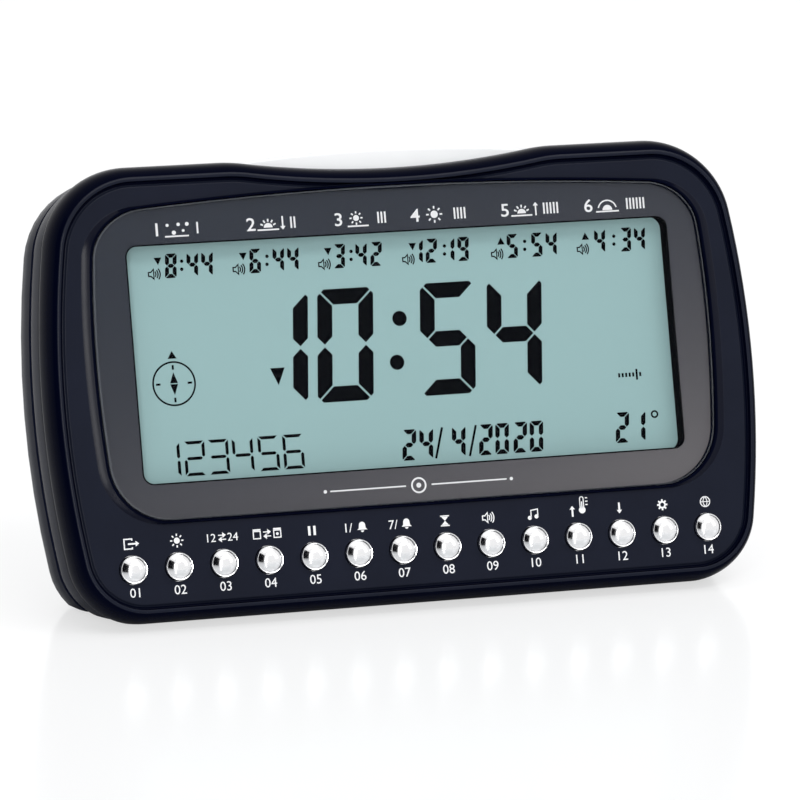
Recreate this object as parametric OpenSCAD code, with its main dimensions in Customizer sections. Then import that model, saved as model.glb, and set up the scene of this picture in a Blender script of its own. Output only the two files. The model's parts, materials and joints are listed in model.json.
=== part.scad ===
// Table clock with a leaning face, a large segment display, fourteen push buttons and a snooze bar.
// Every piece is drawn in the face's own frame: x to the right, y into the clock (depth), z up the
// face from the button row (called v below). on_face() leans that frame back and stands it on its feet.

/* [Case outline] */
// Half of the widest width, at the rolled edge
case_half_w = 88.3; // [84:0.1:96]
// Height of the widest point above the button row
case_mid_v = 40; // [34:1:46]
// Radius of the bowed sides
side_bow_r = 236; // [190:1:400]
// Top edge above the button row
case_top_v = 94.7; // [93.5:0.1:104]
// Bottom edge below the button row
case_drop = 12.7; // [12.4:0.1:14]
// Radius of the top corners
top_corner_r = 21; // [16:0.5:24]
// Radius of the bottom corners
bottom_corner_r = 17; // [14:0.5:19]
// Depth of the dip in the top edge
dip_depth = 3.3; // [2:0.1:4]
// Half of the dip's length
dip_half_w = 42; // [40:0.5:48]
// Radius where the dip runs into the flat top
dip_blend_r = 40; // [25:1:60]
// Angle that the face leans back
lean = 15.4; // [12:0.1:18]

/* [Case section] */
// Wall of both mouldings
wall = 2.2; // [1.8:0.1:2.6]
// Width of the rolled edge, from its bead line outwards
roll_w = 2.9; // [2.5:0.1:3.5]
// Height of the bead line in front of the face
bead_h = 0.9; // [0.6:0.1:1.2]
// Depth of the rolled edge
roll_d = 7.6; // [7:0.1:8.4]
// Depth of the front case, at the parting line
front_d = 20.5; // [20:0.1:22]
// Depth where the rear shoulder starts to curve in
shoulder_start = 30; // [29:0.1:31]
// Depth of the rear case's upper wall
plateau_d = 36; // [35:0.1:38]
// Width of the curved rear shoulder
shoulder_w = 8.5; // [6:0.1:10]
// Depth of the lower bulge, which is the whole depth
bulge_d = 45; // [44.5:0.1:48]
// Half of the bulge's width
bulge_half_w = 66; // [65:0.5:70]
// Top of the bulge above the button row
bulge_top_v = 56; // [55:0.5:60]
// Height of the flat sole under the button row
sole_drop = 13.8; // [13.4:0.1:14.2]

/* [Display] */
// From the case's side to the lens's side
lens_side = 11.9; // [11.3:0.1:12.5]
// Lower edge of the lens
lens_bottom_v = 10.9; // [10.5:0.1:11.5]
// From the case's top edge down to the lens
lens_top = 8.3; // [8.1:0.1:9]
// Thickness of the lens
lens_t = 1.6; // [1.2:0.1:2]
// Height of the lens front over the face
lens_proud = 0.85; // [0.6:0.05:1]
// Printed border beside the window
border_side = 9.1; // [8.5:0.1:11]
// Printed border under the window
border_bottom = 8.8; // [8.2:0.1:10]
// Printed border over the window
border_top = 11; // [10.5:0.1:13]
// Depth of the display glass behind the face
lcd_d = 5.1; // [4.6:0.1:5.6]
// Lap of the display glass behind each side of the window
lcd_lap = 2.7; // [2:0.1:3]

/* [Buttons] */
// From the case's side to the middle of the end button
button_side = 16.8; // [16.2:0.1:18]
// Diameter of a button
button_dia = 6.5; // [6:0.1:7]
// Height of a button's dome over the face
button_proud = 2.5; // [2:0.1:3]
// Travel of a button
button_travel = 0.8; // [0.5:0.1:1]

/* [Snooze bar] */
// Half of the bar's length
bar_half_l = 39; // [37:0.5:39.5]
// Crown of the bar above the button row
bar_top_v = 96.5; // [96:0.1:97.5]
// Radius of the bar's arched top
bar_arch_r = 380; // [300:5:500]
// Depth of the bar's front side
bar_front_d = 9.6; // [9:0.1:10.5]
// Depth of the bar's rear side
bar_back_d = 27.6; // [26:0.1:28]
// Travel of the bar
bar_travel = 1.2; // [0.8:0.1:1.3]

/* [Batteries and speaker] */
// Diameter of a cell
cell_dia = 14.2; // [13.9:0.1:14.5]
// Length of a cell's can
cell_l = 49.5; // [49:0.1:50]
// Left end of the battery bay, seen from the front
bay_x = -2; // [-3:0.5:-1]
// Speaker diameter
speaker_dia = 40; // [36:0.5:41]
// Speaker centre, left of the middle
speaker_x = -36; // [-37:0.5:-34]
// From the bulge's top down to the speaker's centre
speaker_top = 30; // [28:0.5:31]
// Width of a grille slot
slot_w = 2; // [1.5:0.1:2.4]
// Distance between grille slots
slot_pitch = 4; // [3.6:0.1:5]

/* [Feet and screws] */
// Diameter of a rubber foot
foot_dia = 8; // [7:0.5:9]
// Height of a foot under the sole
foot_h = 1; // [0.8:0.1:2]
// Diameter of the case screws
screw_dia = 2.5; // [2:0.1:3]

/* [Clearances] */
// Gap round a button or the bar
slide_gap = 0.2; // [0.15:0.05:0.3]
// Gap round a piece that is set in place
seat_gap = 0.15; // [0.1:0.05:0.25]
// Radial gap of a pin or screw in its bore
pin_gap = 0.05; // [0.03:0.01:0.08]

/* [Hidden] */
$fn = 48;
eps = 0.01;
corner_steps = 10;
side_steps = 8;

// Case profile: pairs of inset from the widest outline and depth
case_bottom_v = -case_drop;
groove_d = 0.45;
step_inset = 1.1;
band_inset = 0.6;
parting_inset = 1.5;
roll_steps = [10:10:90];
front_profile = concat(
    [[roll_w + 1.5, 0], [roll_w + 1.1, groove_d], [roll_w + 0.5, groove_d * 0.8]],
    [[roll_w + 0.2, -bead_h * 0.6], [roll_w, -bead_h]],
    [for (a = roll_steps) [roll_w * (1 - sin(a)), roll_d - (roll_d + bead_h) * cos(a)]],
    [[0.3, roll_d + 0.7], [step_inset, roll_d + 0.9], [step_inset - 0.3, roll_d + 1.5]],
    [[band_inset, roll_d + 4], [band_inset, front_d - 4], [band_inset + 0.3, front_d - 1.2]],
    [[parting_inset, front_d]]);
band_end = 1.1;
rear_profile = concat(
    [[parting_inset, front_d], [band_inset + 0.3, front_d + 0.8], [band_inset + 0.1, front_d + 3.5]],
    [[band_inset + 0.2, shoulder_start - 1.5]],
    [for (a = [0:15:90]) [band_end + shoulder_w * (1 - cos(a)),
        shoulder_start + (plateau_d - shoulder_start) * sin(a)]]);

// Cavities of the two mouldings, the same kind of pairs
cavity_inset = wall + 0.7;
front_cavity = [[cavity_inset + 2.4, wall], [cavity_inset + 0.6, wall + 1.2],
    [cavity_inset, wall + 4], [cavity_inset, front_d + eps]];
rear_cavity = [[cavity_inset, front_d - eps], [cavity_inset + 0.2, shoulder_start - 1.5],
    [band_end + wall + 0.6, shoulder_start + 1], [band_end + wall + 4, plateau_d - wall - 0.3],
    [band_end + wall + 7, plateau_d - wall]];
lip_t = 1.2;
lip_d = 1.6;

// Bulge profile and battery bay
bulge_r = 9;
bulge_profile = [[0, plateau_d - wall + eps], [0.6, bulge_d - 5.5], [1.4, bulge_d - 2.5],
    [3, bulge_d - 0.6], [5, bulge_d]];
bulge_low_v = case_bottom_v - 2;
door_t = wall;
bay_wall = 1.6;
cell_pitch = cell_dia + 0.7;
cell_count = 3;
nub_l = 1;
spring_room = 6.8;
plate_t = 0.5;
bay_l = cell_l + nub_l + spring_room + 2 * plate_t + 0.7;
bay_v = 2;
bay_h = cell_count * cell_pitch;
bay_top_v = bay_v + bay_h;
bay_end_x = bay_x + bay_l;
cell_d = bulge_d - door_t - 1.3 - cell_dia / 2;
bay_floor_d = cell_d - cell_dia / 2 - 0.2;

// Door: its pivots, its rabbet in the bulge and its latch
door_lap = 1.3;
pivot_r = 0.7;
pivot_l = 1.4;
pivot_v = bay_top_v + 2.6;
pivot_d = bulge_d - door_t / 2;
pivot_wall = 3.2;
latch_half_w = 6;
latch_hook = 1;
latch_d = bulge_d - door_t - 3.4;

// Lens, window and display stack
lens_half_w = case_half_w - lens_side;
lens_top_v = case_top_v - lens_top;
lens_mid_v = 50;
lens_bow_r = 300;
lens_low_r = 14.5;
lens_high_r = 12;
lens_crown_r = 840;
lens_chamfer = 0.4;
pedestal_rim = 0.7;
pedestal_side = 2.9;
pedestal_end = 0.9;
mask_t = 0.2;
mask_d = lens_t - lens_proud;
lens_seat_d = mask_d + mask_t;
window_half_w = lens_half_w - border_side;
window_bottom_v = lens_bottom_v + border_bottom;
window_top_v = lens_top_v - border_top;
window_r = 2.5;
tunnel_t = 1.6;
tunnel_gap = 0.5;
glass_t = 1.1;
lcd_half_w = window_half_w + lcd_lap;
lcd_low_v = window_bottom_v - 2.2;
lcd_high_v = window_top_v + 2.9;
glass_step = 3;
frame_wall = 2.3;
board_t = 1.6;
board_d = lcd_d + 6.4;
back_d = board_d + board_t;
board_low_v = lens_bottom_v - 1.3;
board_high_v = lens_top_v - 2;
board_half_w = lcd_half_w + 2;

// Screw places on the face, and the rows of the button parts
button_count = 14;
button_pitch = 2 * (case_half_w - button_side) / (button_count - 1);
boss_r = 3.5;
boss_x = case_half_w - 11;
boss_low_v = 16;
boss_high_v = case_top_v - 16.7;
post_end_d = front_d + 3.9;
head_seat_d = post_end_d + 2.1;
small_boss_r = 2.2;
small_screw_r = 0.9;
head_h = 1.2;
board_boss_x = lcd_half_w - 10;
board_boss_v = [board_low_v + 3.3, board_high_v - 1.8];
key_boss_x = case_half_w - 9.3;
key_boss_low_v = -6.4;
key_bosses = [[-key_boss_x, 2.5], [key_boss_x, 2.5], [-2.5 * button_pitch, key_boss_low_v],
    [2.5 * button_pitch, key_boss_low_v]];
key_board_d = wall + 5.6;
key_board_t = 1.6;
key_board_half_w = key_boss_x + 2;
key_board_foot_w = key_boss_x - 9;
key_board_high_v = 6.3;
key_board_step_v = -1.5;
key_board_low_v = key_boss_low_v - 2.1;
flange_r = button_dia / 2 + 0.95;
flange_t = 0.8;
stem_r = 1.6;
dome_r = 2.4;
mat_t = 0.8;
mat_d = key_board_d - mat_t;
mat_half_h = 3.8;
dome_d = mat_d - button_travel - 1.1;

// Snooze bar: the flange runs under the top wall
ceiling_v = case_top_v - dip_depth - cavity_inset;
bar_flange_t = 0.9;
bar_flange_lap = 1.5;
bar_flange_v = ceiling_v - 0.6 - bar_flange_t;
bar_rib_h = 0.35;
bar_skin = 1.6;
bar_corner_r = 3;
spring_x = bar_half_l - 9;
spring_d = front_d + 3.3;
spring_r = 2.2;
spring_wire = 0.5;
shelf_v = bar_flange_v - 5.6;
shelf_t = 1.8;

// Speaker places
speaker_v = bulge_top_v - speaker_top;
speaker_r = speaker_dia / 2;
speaker_back_d = bulge_d - 18;
rim_t = 2.8;
grille_d = bulge_d - wall;
ear_r = speaker_r + 4.6;
clamp_t = 1.2;

// Standing height, and the shift that centres the part on its footprint
sole_z = -sole_drop;
lift = sole_drop + foot_h;
foot_seat = 1;
front_foot_x = bulge_half_w - 2;
rear_foot_x = bulge_half_w - 12;
front_foot_y = front_d - 9.5;
rear_foot_y = bulge_d - 8;
foot_places = [[-front_foot_x, front_foot_y], [front_foot_x, front_foot_y],
    [-rear_foot_x, rear_foot_y], [rear_foot_x, rear_foot_y]];
function face_y(inset, d) = (case_bottom_v + inset) * sin(lean) + d * cos(lean);
front_y = min([for (p = front_profile) face_y(p[0], p[1])]);
function back_y(top, p) = (top - p[0]) * sin(lean) + p[1] * cos(lean);
rear_y = max([for (p = bulge_profile) back_y(bulge_top_v, p), for (p = rear_profile) back_y(case_top_v, p)]);
shift_y = -(front_y + rear_y) / 2;

// ---- Outlines, in x and v ----

function arc(c, r, a0, a1, n) =
    [for (i = [0:n]) c + r * [cos(a0 + (a1 - a0) * i / n), sin(a0 + (a1 - a0) * i / n)]];
function inner_of(list) = [for (i = [1:len(list) - 2]) list[i]];
function tail_of(list) = [for (i = [1:len(list) - 1]) list[i]];

// Right half of an outline with a bowed side and two round corners, from the bottom up, drawn
// inwards by s. The arcs keep their centres, so rings of any inset match point by point.
function bowed_half(w, mid, bow, low, low_r, high, high_r, s) =
    let (c = [w - bow, mid],
        low_c = [c.x + sqrt(pow(bow - low_r, 2) - pow(low + low_r - mid, 2)), low + low_r],
        high_c = [c.x + sqrt(pow(bow - high_r, 2) - pow(high - high_r - mid, 2)), high - high_r],
        low_a = asin((low + low_r - mid) / (bow - low_r)),
        high_a = asin((high - high_r - mid) / (bow - high_r)))
    concat(arc(low_c, low_r - s, -90, low_a, corner_steps),
        inner_of(arc(c, bow - s, low_a, high_a, side_steps)),
        arc(high_c, high_r - s, high_a, 90, corner_steps));

// Right half of the top edge's dip: a convex blend, then the hollow arc to the middle
function dip_half(s) =
    let (turn = 2 * atan(dip_depth / dip_half_w),
        hollow_r = dip_half_w / sin(turn) - dip_blend_r)
    concat(arc([dip_half_w, case_top_v - dip_blend_r], dip_blend_r - s, 90, 90 + turn, 2),
        tail_of(arc([0, case_top_v - dip_depth + hollow_r], hollow_r + s, turn - 90, -90, 5)));

function whole(half) =
    concat(half, [for (i = [len(half) - 1:-1:0]) if (half[i].x > eps) [-half[i].x, half[i].y]]);

function case_outline(s) =
    whole(concat(bowed_half(case_half_w, case_mid_v, side_bow_r, case_bottom_v, bottom_corner_r,
        case_top_v, top_corner_r, s), dip_half(s)));

// The lens's top edge is crowned: points above its middle drop with the square of x
function crowned(p) =
    [p.x, p.y - max(0, (p.y - lens_mid_v) / (lens_top_v - lens_mid_v)) * p.x * p.x
        / (2 * lens_crown_r)];
function lens_shape(side, end, s) =
    let (half = concat(bowed_half(lens_half_w + side, lens_mid_v, lens_bow_r,
            lens_bottom_v - end, lens_low_r + end, lens_top_v + end, lens_high_r + end, s),
            [for (x = [48, 32, 16, 0]) [x, lens_top_v + end - s]]))
    [for (p = whole(half)) crowned(p)];
function lens_outline(s) = lens_shape(0, 0, s);

// Rectangle with round corners, drawn inwards by s
function box_outline(x0, x1, v0, v1, r, s) =
    concat(arc([x1 - r, v0 + r], r - s, -90, 0, 6), arc([x1 - r, v1 - r], r - s, 0, 90, 6),
        arc([x0 + r, v1 - r], r - s, 90, 180, 6), arc([x0 + r, v0 + r], r - s, 180, 270, 6));

// ---- Shared shapes ----

module on_face() {
    translate([0, shift_y, lift]) rotate([-lean, 0, 0]) children();
}

// Puts a level shape into the leaning frame
module level() {
    rotate([lean, 0, 0]) children();
}

// Closed skin over a row of rings that have the same number of points
module skin(rings) {
    n = len(rings[0]);
    last = len(rings) - 1;
    front = [for (i = [n - 1:-1:0]) i];
    back = [for (i = [0:n - 1]) last * n + i];
    walls = [for (k = [0:last - 1], i = [0:n - 1]) let (a = k * n, j = (i + 1) % n)
        each [[a + i, a + j, a + n + j], [a + i, a + n + j, a + n + i]]];
    polyhedron([for (ring = rings) each ring], concat([front], walls, [back]));
}

function at_depth(outline, d) = [for (p = outline) [p.x, d, p.y]];

// Loft through case outlines, one for each pair of inset and depth
module case_loft(profile) {
    skin([for (p = profile) at_depth(case_outline(p[0]), p[1])]);
}

// Flat shape between two depths
module slab(d0, d1) {
    translate([0, d1, 0]) rotate([90, 0, 0]) linear_extrude(height = d1 - d0) children();
}

// Round rod or hole that runs into the clock
module rod(x, v, d0, d1, r) {
    translate([x, d0, v]) rotate([-90, 0, 0]) cylinder(h = d1 - d0, r = r);
}

// Turned shape about a line into the clock; its profile is pairs of radius and depth
module turned(x, v) {
    translate([x, 0, v]) rotate([-90, 0, 0]) rotate_extrude() children();
}

module block(x0, x1, d0, d1, v0, v1) {
    translate([x0, d0, v0]) cube([x1 - x0, d1 - d0, v1 - v0]);
}

module round_rect(x0, x1, y0, y1, r) {
    translate([x0 + r, y0]) square([x1 - x0 - 2 * r, y1 - y0]);
    translate([x0, y0 + r]) square([x1 - x0, y1 - y0 - 2 * r]);
    for (x = [x0 + r, x1 - r], y = [y0 + r, y1 - r]) translate([x, y]) circle(r);
}

// Screw with its head at depth d, its shank running towards the face
module screw(x, v, d, r, l) {
    rod(x, v, d, d + head_h + r * 0.6, r * 2);
    rod(x, v, d - l, d + eps, r);
}

// Helical wire spring along z from radius r0 to r1
module coil(r0, r1, h, wire, turns) {
    steps = 10 * turns;
    skin([for (i = [0:steps]) let (a = 36 * i, r = r0 + (r1 - r0) * i / steps,
            z = wire / 2 + (h - wire) * i / steps)
        [for (b = [0:60:300]) [(r + wire / 2 * cos(b)) * cos(a), (r + wire / 2 * cos(b)) * sin(a),
            z + wire / 2 * sin(b)]]]);
}

// Everything under the flat sole, raised by up
module below_sole(up) {
    level() translate([-2 * case_half_w, -2 * bulge_d, sole_z + up - case_top_v])
        cube([4 * case_half_w, 6 * bulge_d, case_top_v]);
}

// The first two feet stand under the front moulding, the other two under the rear one
module foot_at(i, r, h0, h1) {
    level() translate([foot_places[i][0], foot_places[i][1], sole_z + h0])
        cylinder(h = h1 - h0, r = r);
}

module foot_recesses(first) {
    for (i = [first, first + 1]) foot_at(i, foot_dia / 2 + seat_gap, -1, foot_seat);
}

function button_x(i) = (i - (button_count - 1) / 2) * button_pitch;

module bar_plan(gap) {
    translate([0, 0, bar_flange_v]) linear_extrude(height = 30)
        round_rect(-bar_half_l - gap, bar_half_l + gap, bar_front_d - gap, bar_back_d + gap,
            bar_corner_r + gap);
}

// ---- Housing ----

module case_posts() {
    for (x = [-boss_x, boss_x], v = [boss_low_v, boss_high_v]) rod(x, v, wall - eps, post_end_d, boss_r);
    for (x = [-board_boss_x, board_boss_x], v = board_boss_v)
        rod(x, v, wall - eps, board_d, small_boss_r);
    for (p = key_bosses) rod(p.x, p.y, wall - eps, key_board_d, small_boss_r);
}

module post_bores() {
    for (x = [-boss_x, boss_x], v = [boss_low_v, boss_high_v])
        rod(x, v, front_d - 7, post_end_d + eps, screw_dia / 2 + pin_gap);
    for (x = [-board_boss_x, board_boss_x], v = board_boss_v)
        rod(x, v, board_d - 6, board_d + eps, small_screw_r + pin_gap);
    for (p = key_bosses) rod(p.x, p.y, key_board_d - 4, key_board_d + eps, small_screw_r + pin_gap);
}

module window_box(d0, d1, grow) {
    slab(d0, d1) round_rect(-window_half_w - grow, window_half_w + grow,
        window_bottom_v - grow, window_top_v + grow, window_r + grow);
}

module front_case() color([0.05, 0.055, 0.09]) on_face() {
    difference() {
        union() {
            difference() {
                case_loft(front_profile);
                difference() {
                    case_loft(front_cavity);
                    below_sole(wall);
                }
            }
            skin([at_depth(lens_shape(pedestal_rim, pedestal_rim, 0), -lens_proud + 0.1),
                at_depth(lens_shape(pedestal_side, pedestal_end, 0), 0),
                at_depth(lens_shape(pedestal_side, pedestal_end, 0), wall / 2)]);
            window_box(wall - eps, lcd_d - 0.05, tunnel_gap + tunnel_t);
            case_posts();
        }
        skin([at_depth(lens_outline(-seat_gap), -2), at_depth(lens_outline(-seat_gap), lens_seat_d)]);
        window_box(0, lcd_d + 1, tunnel_gap);
        for (i = [0:button_count - 1]) rod(button_x(i), 0, -2, wall + 1, button_dia / 2 + slide_gap);
        post_bores();
        bar_plan(slide_gap);
        foot_recesses(0);
        below_sole(0);
    }
}

module bay_shell(grow, d0, d1) {
    block(bay_x - grow, bay_end_x + grow, d0, d1, bay_v - grow, bay_top_v + grow);
}

// What stands in the rear cavity: screw tubes, battery bay, speaker ring, pivots, spring shelves
module rear_inner_walls() {
    for (x = [-boss_x, boss_x], v = [boss_low_v, boss_high_v])
        rod(x, v, post_end_d + 0.1, plateau_d, boss_r + 1.5);
    bay_shell(bay_wall, bay_floor_d - 1.5, bulge_d);
    for (x = [bay_x - door_lap - seat_gap - pivot_wall, bay_end_x + door_lap + seat_gap])
        block(x, x + pivot_wall, pivot_d - 3, bulge_d, pivot_v - 2.2, pivot_v + 2.4);
    difference() {
        rod(speaker_x, speaker_v, grille_d - rim_t, grille_d + 1, speaker_r + 1.8);
        rod(speaker_x, speaker_v, grille_d - 5, grille_d + 2, speaker_r + seat_gap);
    }
    for (a = [90, 210, 330]) rod(speaker_x + ear_r * cos(a), speaker_v + ear_r * sin(a),
        grille_d - rim_t, grille_d + 1, small_boss_r);
    for (x = [-spring_x, spring_x])
        block(x - 3.5, x + 3.5, spring_d - 3.2, plateau_d - 1, shelf_v - shelf_t, shelf_v);
}

module rear_lip() {
    difference() {
        case_loft([[cavity_inset + seat_gap, front_d - lip_d], [cavity_inset + seat_gap, front_d],
            [cavity_inset - 0.5, front_d + 0.5], [cavity_inset - 0.5, front_d + 1]]);
        case_loft([[cavity_inset + lip_t, front_d - lip_d - 1], [cavity_inset + lip_t, front_d + 2]]);
        block(-dip_half_w - 2, dip_half_w + 2, 0, front_d + 2, case_mid_v, case_top_v);
        below_sole(wall + seat_gap);
    }
}

module grille() {
    reach = speaker_r - 4;
    rows = floor(reach / slot_pitch);
    for (k = [-rows:rows]) let (half = sqrt(reach * reach - pow(k * slot_pitch, 2)))
        translate([speaker_x, 0, speaker_v + k * slot_pitch]) slab(grille_d - 1, bulge_d + 1)
            round_rect(-half - slot_w / 2, half + slot_w / 2, -slot_w / 2, slot_w / 2, slot_w / 2 - eps);
}

module rear_case() color([0.05, 0.055, 0.09]) on_face() {
    difference() {
        union() {
            case_loft(rear_profile);
            skin([for (p = bulge_profile) at_depth(box_outline(-bulge_half_w, bulge_half_w,
                bulge_low_v, bulge_top_v, bulge_r, p[0]), p[1])]);
        }
        difference() {
            union() {
                case_loft(rear_cavity);
                slab(plateau_d - wall - 1, grille_d) round_rect(-bulge_half_w + wall + 0.6,
                    bulge_half_w - wall - 0.6, bulge_low_v, bulge_top_v - wall - 0.6, bulge_r - wall);
            }
            below_sole(wall);
            rear_inner_walls();
        }
        bay_shell(0, bay_floor_d, bulge_d + 1);
        block(bay_x - door_lap - seat_gap, bay_end_x + door_lap + seat_gap, bulge_d - door_t,
            bulge_d + 1, bay_v - door_lap - seat_gap, pivot_v + door_t / 2 + 0.3);
        translate([bay_x - door_lap - seat_gap - pivot_l - 0.1, pivot_d, pivot_v]) rotate([0, 90, 0])
            cylinder(h = bay_l + 2 * (door_lap + seat_gap + pivot_l + 0.1), r = pivot_r + pin_gap);
        block(bay_x + bay_l / 2 - latch_half_w - seat_gap, bay_x + bay_l / 2 + latch_half_w + seat_gap,
            latch_d - seat_gap, latch_d + 1.7, bay_v - latch_hook - 0.4, bay_v + eps);
        for (x = [-boss_x, boss_x], v = [boss_low_v, boss_high_v]) {
            rod(x, v, post_end_d, head_seat_d + 1, screw_dia / 2 + 0.2);
            rod(x, v, head_seat_d, plateau_d + 1, screw_dia + 0.4);
        }
        for (a = [90, 210, 330]) rod(speaker_x + ear_r * cos(a), speaker_v + ear_r * sin(a),
            grille_d - rim_t - eps, grille_d + 0.6, small_screw_r + pin_gap);
        grille();
        bar_plan(slide_gap);
        foot_recesses(2);
        below_sole(0);
    }
    difference() {
        rear_lip();
        for (x = [-boss_x, boss_x], v = [boss_low_v, boss_high_v])
            rod(x, v, 0, front_d - eps, boss_r + seat_gap);
    }
}

module rubber_feet() color([0.1, 0.1, 0.1]) on_face() {
    for (i = [0:3]) {
        foot_at(i, foot_dia / 2, 0.3 - foot_h, foot_seat);
        foot_at(i, foot_dia / 2 - 0.5, -foot_h, 0.3 - foot_h + eps);
    }
}

module case_screws() color([0.75, 0.76, 0.78]) on_face() {
    for (x = [-boss_x, boss_x], v = [boss_low_v, boss_high_v])
        screw(x, v, head_seat_d, screw_dia / 2, head_seat_d - front_d + 5);
}

// ---- Display ----

module display_lens() color([0.75, 0.8, 0.85, 0.35]) on_face() {
    skin([at_depth(lens_outline(lens_chamfer), -lens_proud),
        at_depth(lens_outline(0), lens_chamfer - lens_proud), at_depth(lens_outline(0), mask_d)]);
}

module lens_mask() color([0.27, 0.26, 0.27]) on_face() {
    difference() {
        skin([at_depth(lens_outline(0), mask_d), at_depth(lens_outline(0), lens_seat_d)]);
        window_box(-1, lcd_d, 0);
    }
}

module lcd_panel() color([0.61, 0.72, 0.73]) on_face() {
    block(-lcd_half_w, lcd_half_w, lcd_d, lcd_d + glass_t, lcd_low_v, lcd_high_v);
    block(-lcd_half_w, lcd_half_w, lcd_d + glass_t, lcd_d + 2 * glass_t, lcd_low_v + glass_step,
        lcd_high_v - glass_step);
}

module lcd_frame() color([0.88, 0.88, 0.86]) on_face() {
    difference() {
        block(-lcd_half_w - frame_wall, lcd_half_w + frame_wall, lcd_d, board_d,
            lcd_low_v - 1.8, lcd_high_v + 1.8);
        block(-lcd_half_w - seat_gap, lcd_half_w + seat_gap, 0, board_d + 1,
            lcd_low_v - seat_gap, lcd_high_v + seat_gap);
        for (v = board_boss_v, x = [-board_boss_x, board_boss_x])
            rod(x, v, 0, board_d + 1, small_boss_r + seat_gap);
    }
}

module backlight_diffuser() color([0.93, 0.94, 0.92]) on_face() {
    block(-lcd_half_w + glass_step, lcd_half_w - glass_step, lcd_d + 2 * glass_t, board_d - 0.3,
        lcd_low_v + glass_step + 0.4, lcd_high_v - glass_step - 0.4);
}

module zebra_strips() color([0.75, 0.45, 0.5]) on_face() {
    for (v = [lcd_low_v + 0.3, lcd_high_v - 2.5])
        block(-lcd_half_w + 4, lcd_half_w - 4, lcd_d + glass_t, board_d, v, v + 2.2);
}

// ---- Boards ----

module main_board() color([0.12, 0.35, 0.2]) on_face() {
    difference() {
        block(-board_half_w, board_half_w, board_d, board_d + board_t, board_low_v, board_high_v);
        for (x = [-board_boss_x, board_boss_x], v = board_boss_v)
            rod(x, v, board_d - 1, board_d + board_t + 1, small_screw_r + 0.2);
    }
}

module board_screws() color([0.75, 0.76, 0.78]) on_face() {
    for (x = [-board_boss_x, board_boss_x], v = board_boss_v)
        screw(x, v, board_d + board_t, small_screw_r, board_t + 5);
}

module board_parts() color([0.1, 0.1, 0.11]) on_face() {
    for (x = [-22, 22]) difference() {
        translate([x, back_d - 5, 62]) sphere(8);
        block(x - 9, x + 9, back_d - 14, back_d, 50, 74);
    }
    for (p = [[-48, 66], [-48, 56]]) rod(p.x, p.y, back_d, back_d + 5.5, 2.5);
    block(38, 46, back_d, back_d + 2.4, 60, 63.2);
    for (k = [0:5]) block(-12 + 4 * k, -9.6 + 4 * k, back_d, back_d + 0.9, 42, 43.3);
    block(50, 58, back_d, back_d + 4.5, 55, 61);
    for (x = [-62, -52]) block(x, x + 7, back_d, back_d + 3.6, 30, 34);
}

module snooze_switch() color([0.2, 0.2, 0.22]) on_face() {
    switch_v = board_high_v - 5.2;
    block(-3, 3, back_d, back_d + 3.4, switch_v, board_high_v - 0.4);
    translate([0, back_d + 1.7, board_high_v - 0.4 - eps])
        cylinder(h = bar_flange_v - bar_rib_h - bar_travel - 0.05 - board_high_v + 0.4, r = 1.2);
}

module temperature_sensor() color([0.2, 0.25, 0.2]) on_face() {
    x0 = board_half_w - 6;
    v0 = board_low_v + 10.4;
    translate([x0, back_d + 1.5, v0]) cylinder(h = 3.6, r = 1.5);
    for (x = [x0 - 0.8, x0 + 0.4]) block(x, x + 0.4, back_d + 1.3, back_d + 1.7, v0 + 3.5, v0 + 8.1);
    block(x0 - 1.4, x0 + 1.4, back_d, back_d + 2, v0 + 8, v0 + 10);
}

module keypad_board() color([0.45, 0.35, 0.15]) on_face() {
    difference() {
        union() {
            block(-key_board_half_w, key_board_half_w, key_board_d, key_board_d + key_board_t,
                key_board_step_v, key_board_high_v);
            block(-key_board_foot_w, key_board_foot_w, key_board_d, key_board_d + key_board_t,
                key_board_low_v, key_board_high_v);
        }
        for (p = key_bosses) rod(p.x, p.y, key_board_d - 1, key_board_d + 3, small_screw_r + 0.2);
    }
}

module keypad_screws() color([0.75, 0.76, 0.78]) on_face() {
    for (p = key_bosses) screw(p.x, p.y, key_board_d + key_board_t, small_screw_r, key_board_t + 3);
}

module keypad_mat() color([0.8, 0.8, 0.78]) on_face() {
    end_x = button_x(button_count - 1) + dome_r + 2;
    block(-end_x, end_x, mat_d, key_board_d, -mat_half_h, mat_half_h);
    for (i = [0:button_count - 1]) turned(button_x(i), 0)
        polygon([[0, dome_d + 0.05], [stem_r, dome_d + 0.05], [dome_r, mat_d + eps], [0, mat_d + eps]]);
}

module ribbon_cable() color([0.75, 0.75, 0.72]) on_face() {
    t = 0.35;
    key_back = key_board_d + key_board_t;
    translate([-12, 0, 0]) rotate([90, 0, 90]) linear_extrude(height = 24)
        polygon([[key_back, 3.5], [key_back + t, 3.5], [key_back + t, 6.8], [board_d, 8.8],
            [board_d, 12.6], [board_d - t, 12.6], [board_d - t, 9], [key_back, 7]]);
}

// ---- Buttons and snooze bar ----

// Chromed cap with a flat rim and a dome, held behind the face by its flange
module button(i) color([0.85, 0.86, 0.88]) on_face() {
    r = button_dia / 2;
    rim_d = -0.75;
    dome_edge = r - 0.45;
    rise = button_proud + rim_d;
    ball = (dome_edge * dome_edge + rise * rise) / (2 * rise);
    turned(button_x(i), 0) polygon(concat(
        [for (a = [0:6]) let (x = dome_edge * a / 6)
            [x, ball - button_proud - sqrt(ball * ball - x * x)]],
        [[r - 0.15, rim_d], [r, rim_d + 0.15], [r, wall + 0.1], [flange_r, wall + 0.1],
        [flange_r, wall + 0.1 + flange_t], [stem_r, wall + 0.1 + flange_t], [stem_r, dome_d],
        [0, dome_d]]));
}

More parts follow.
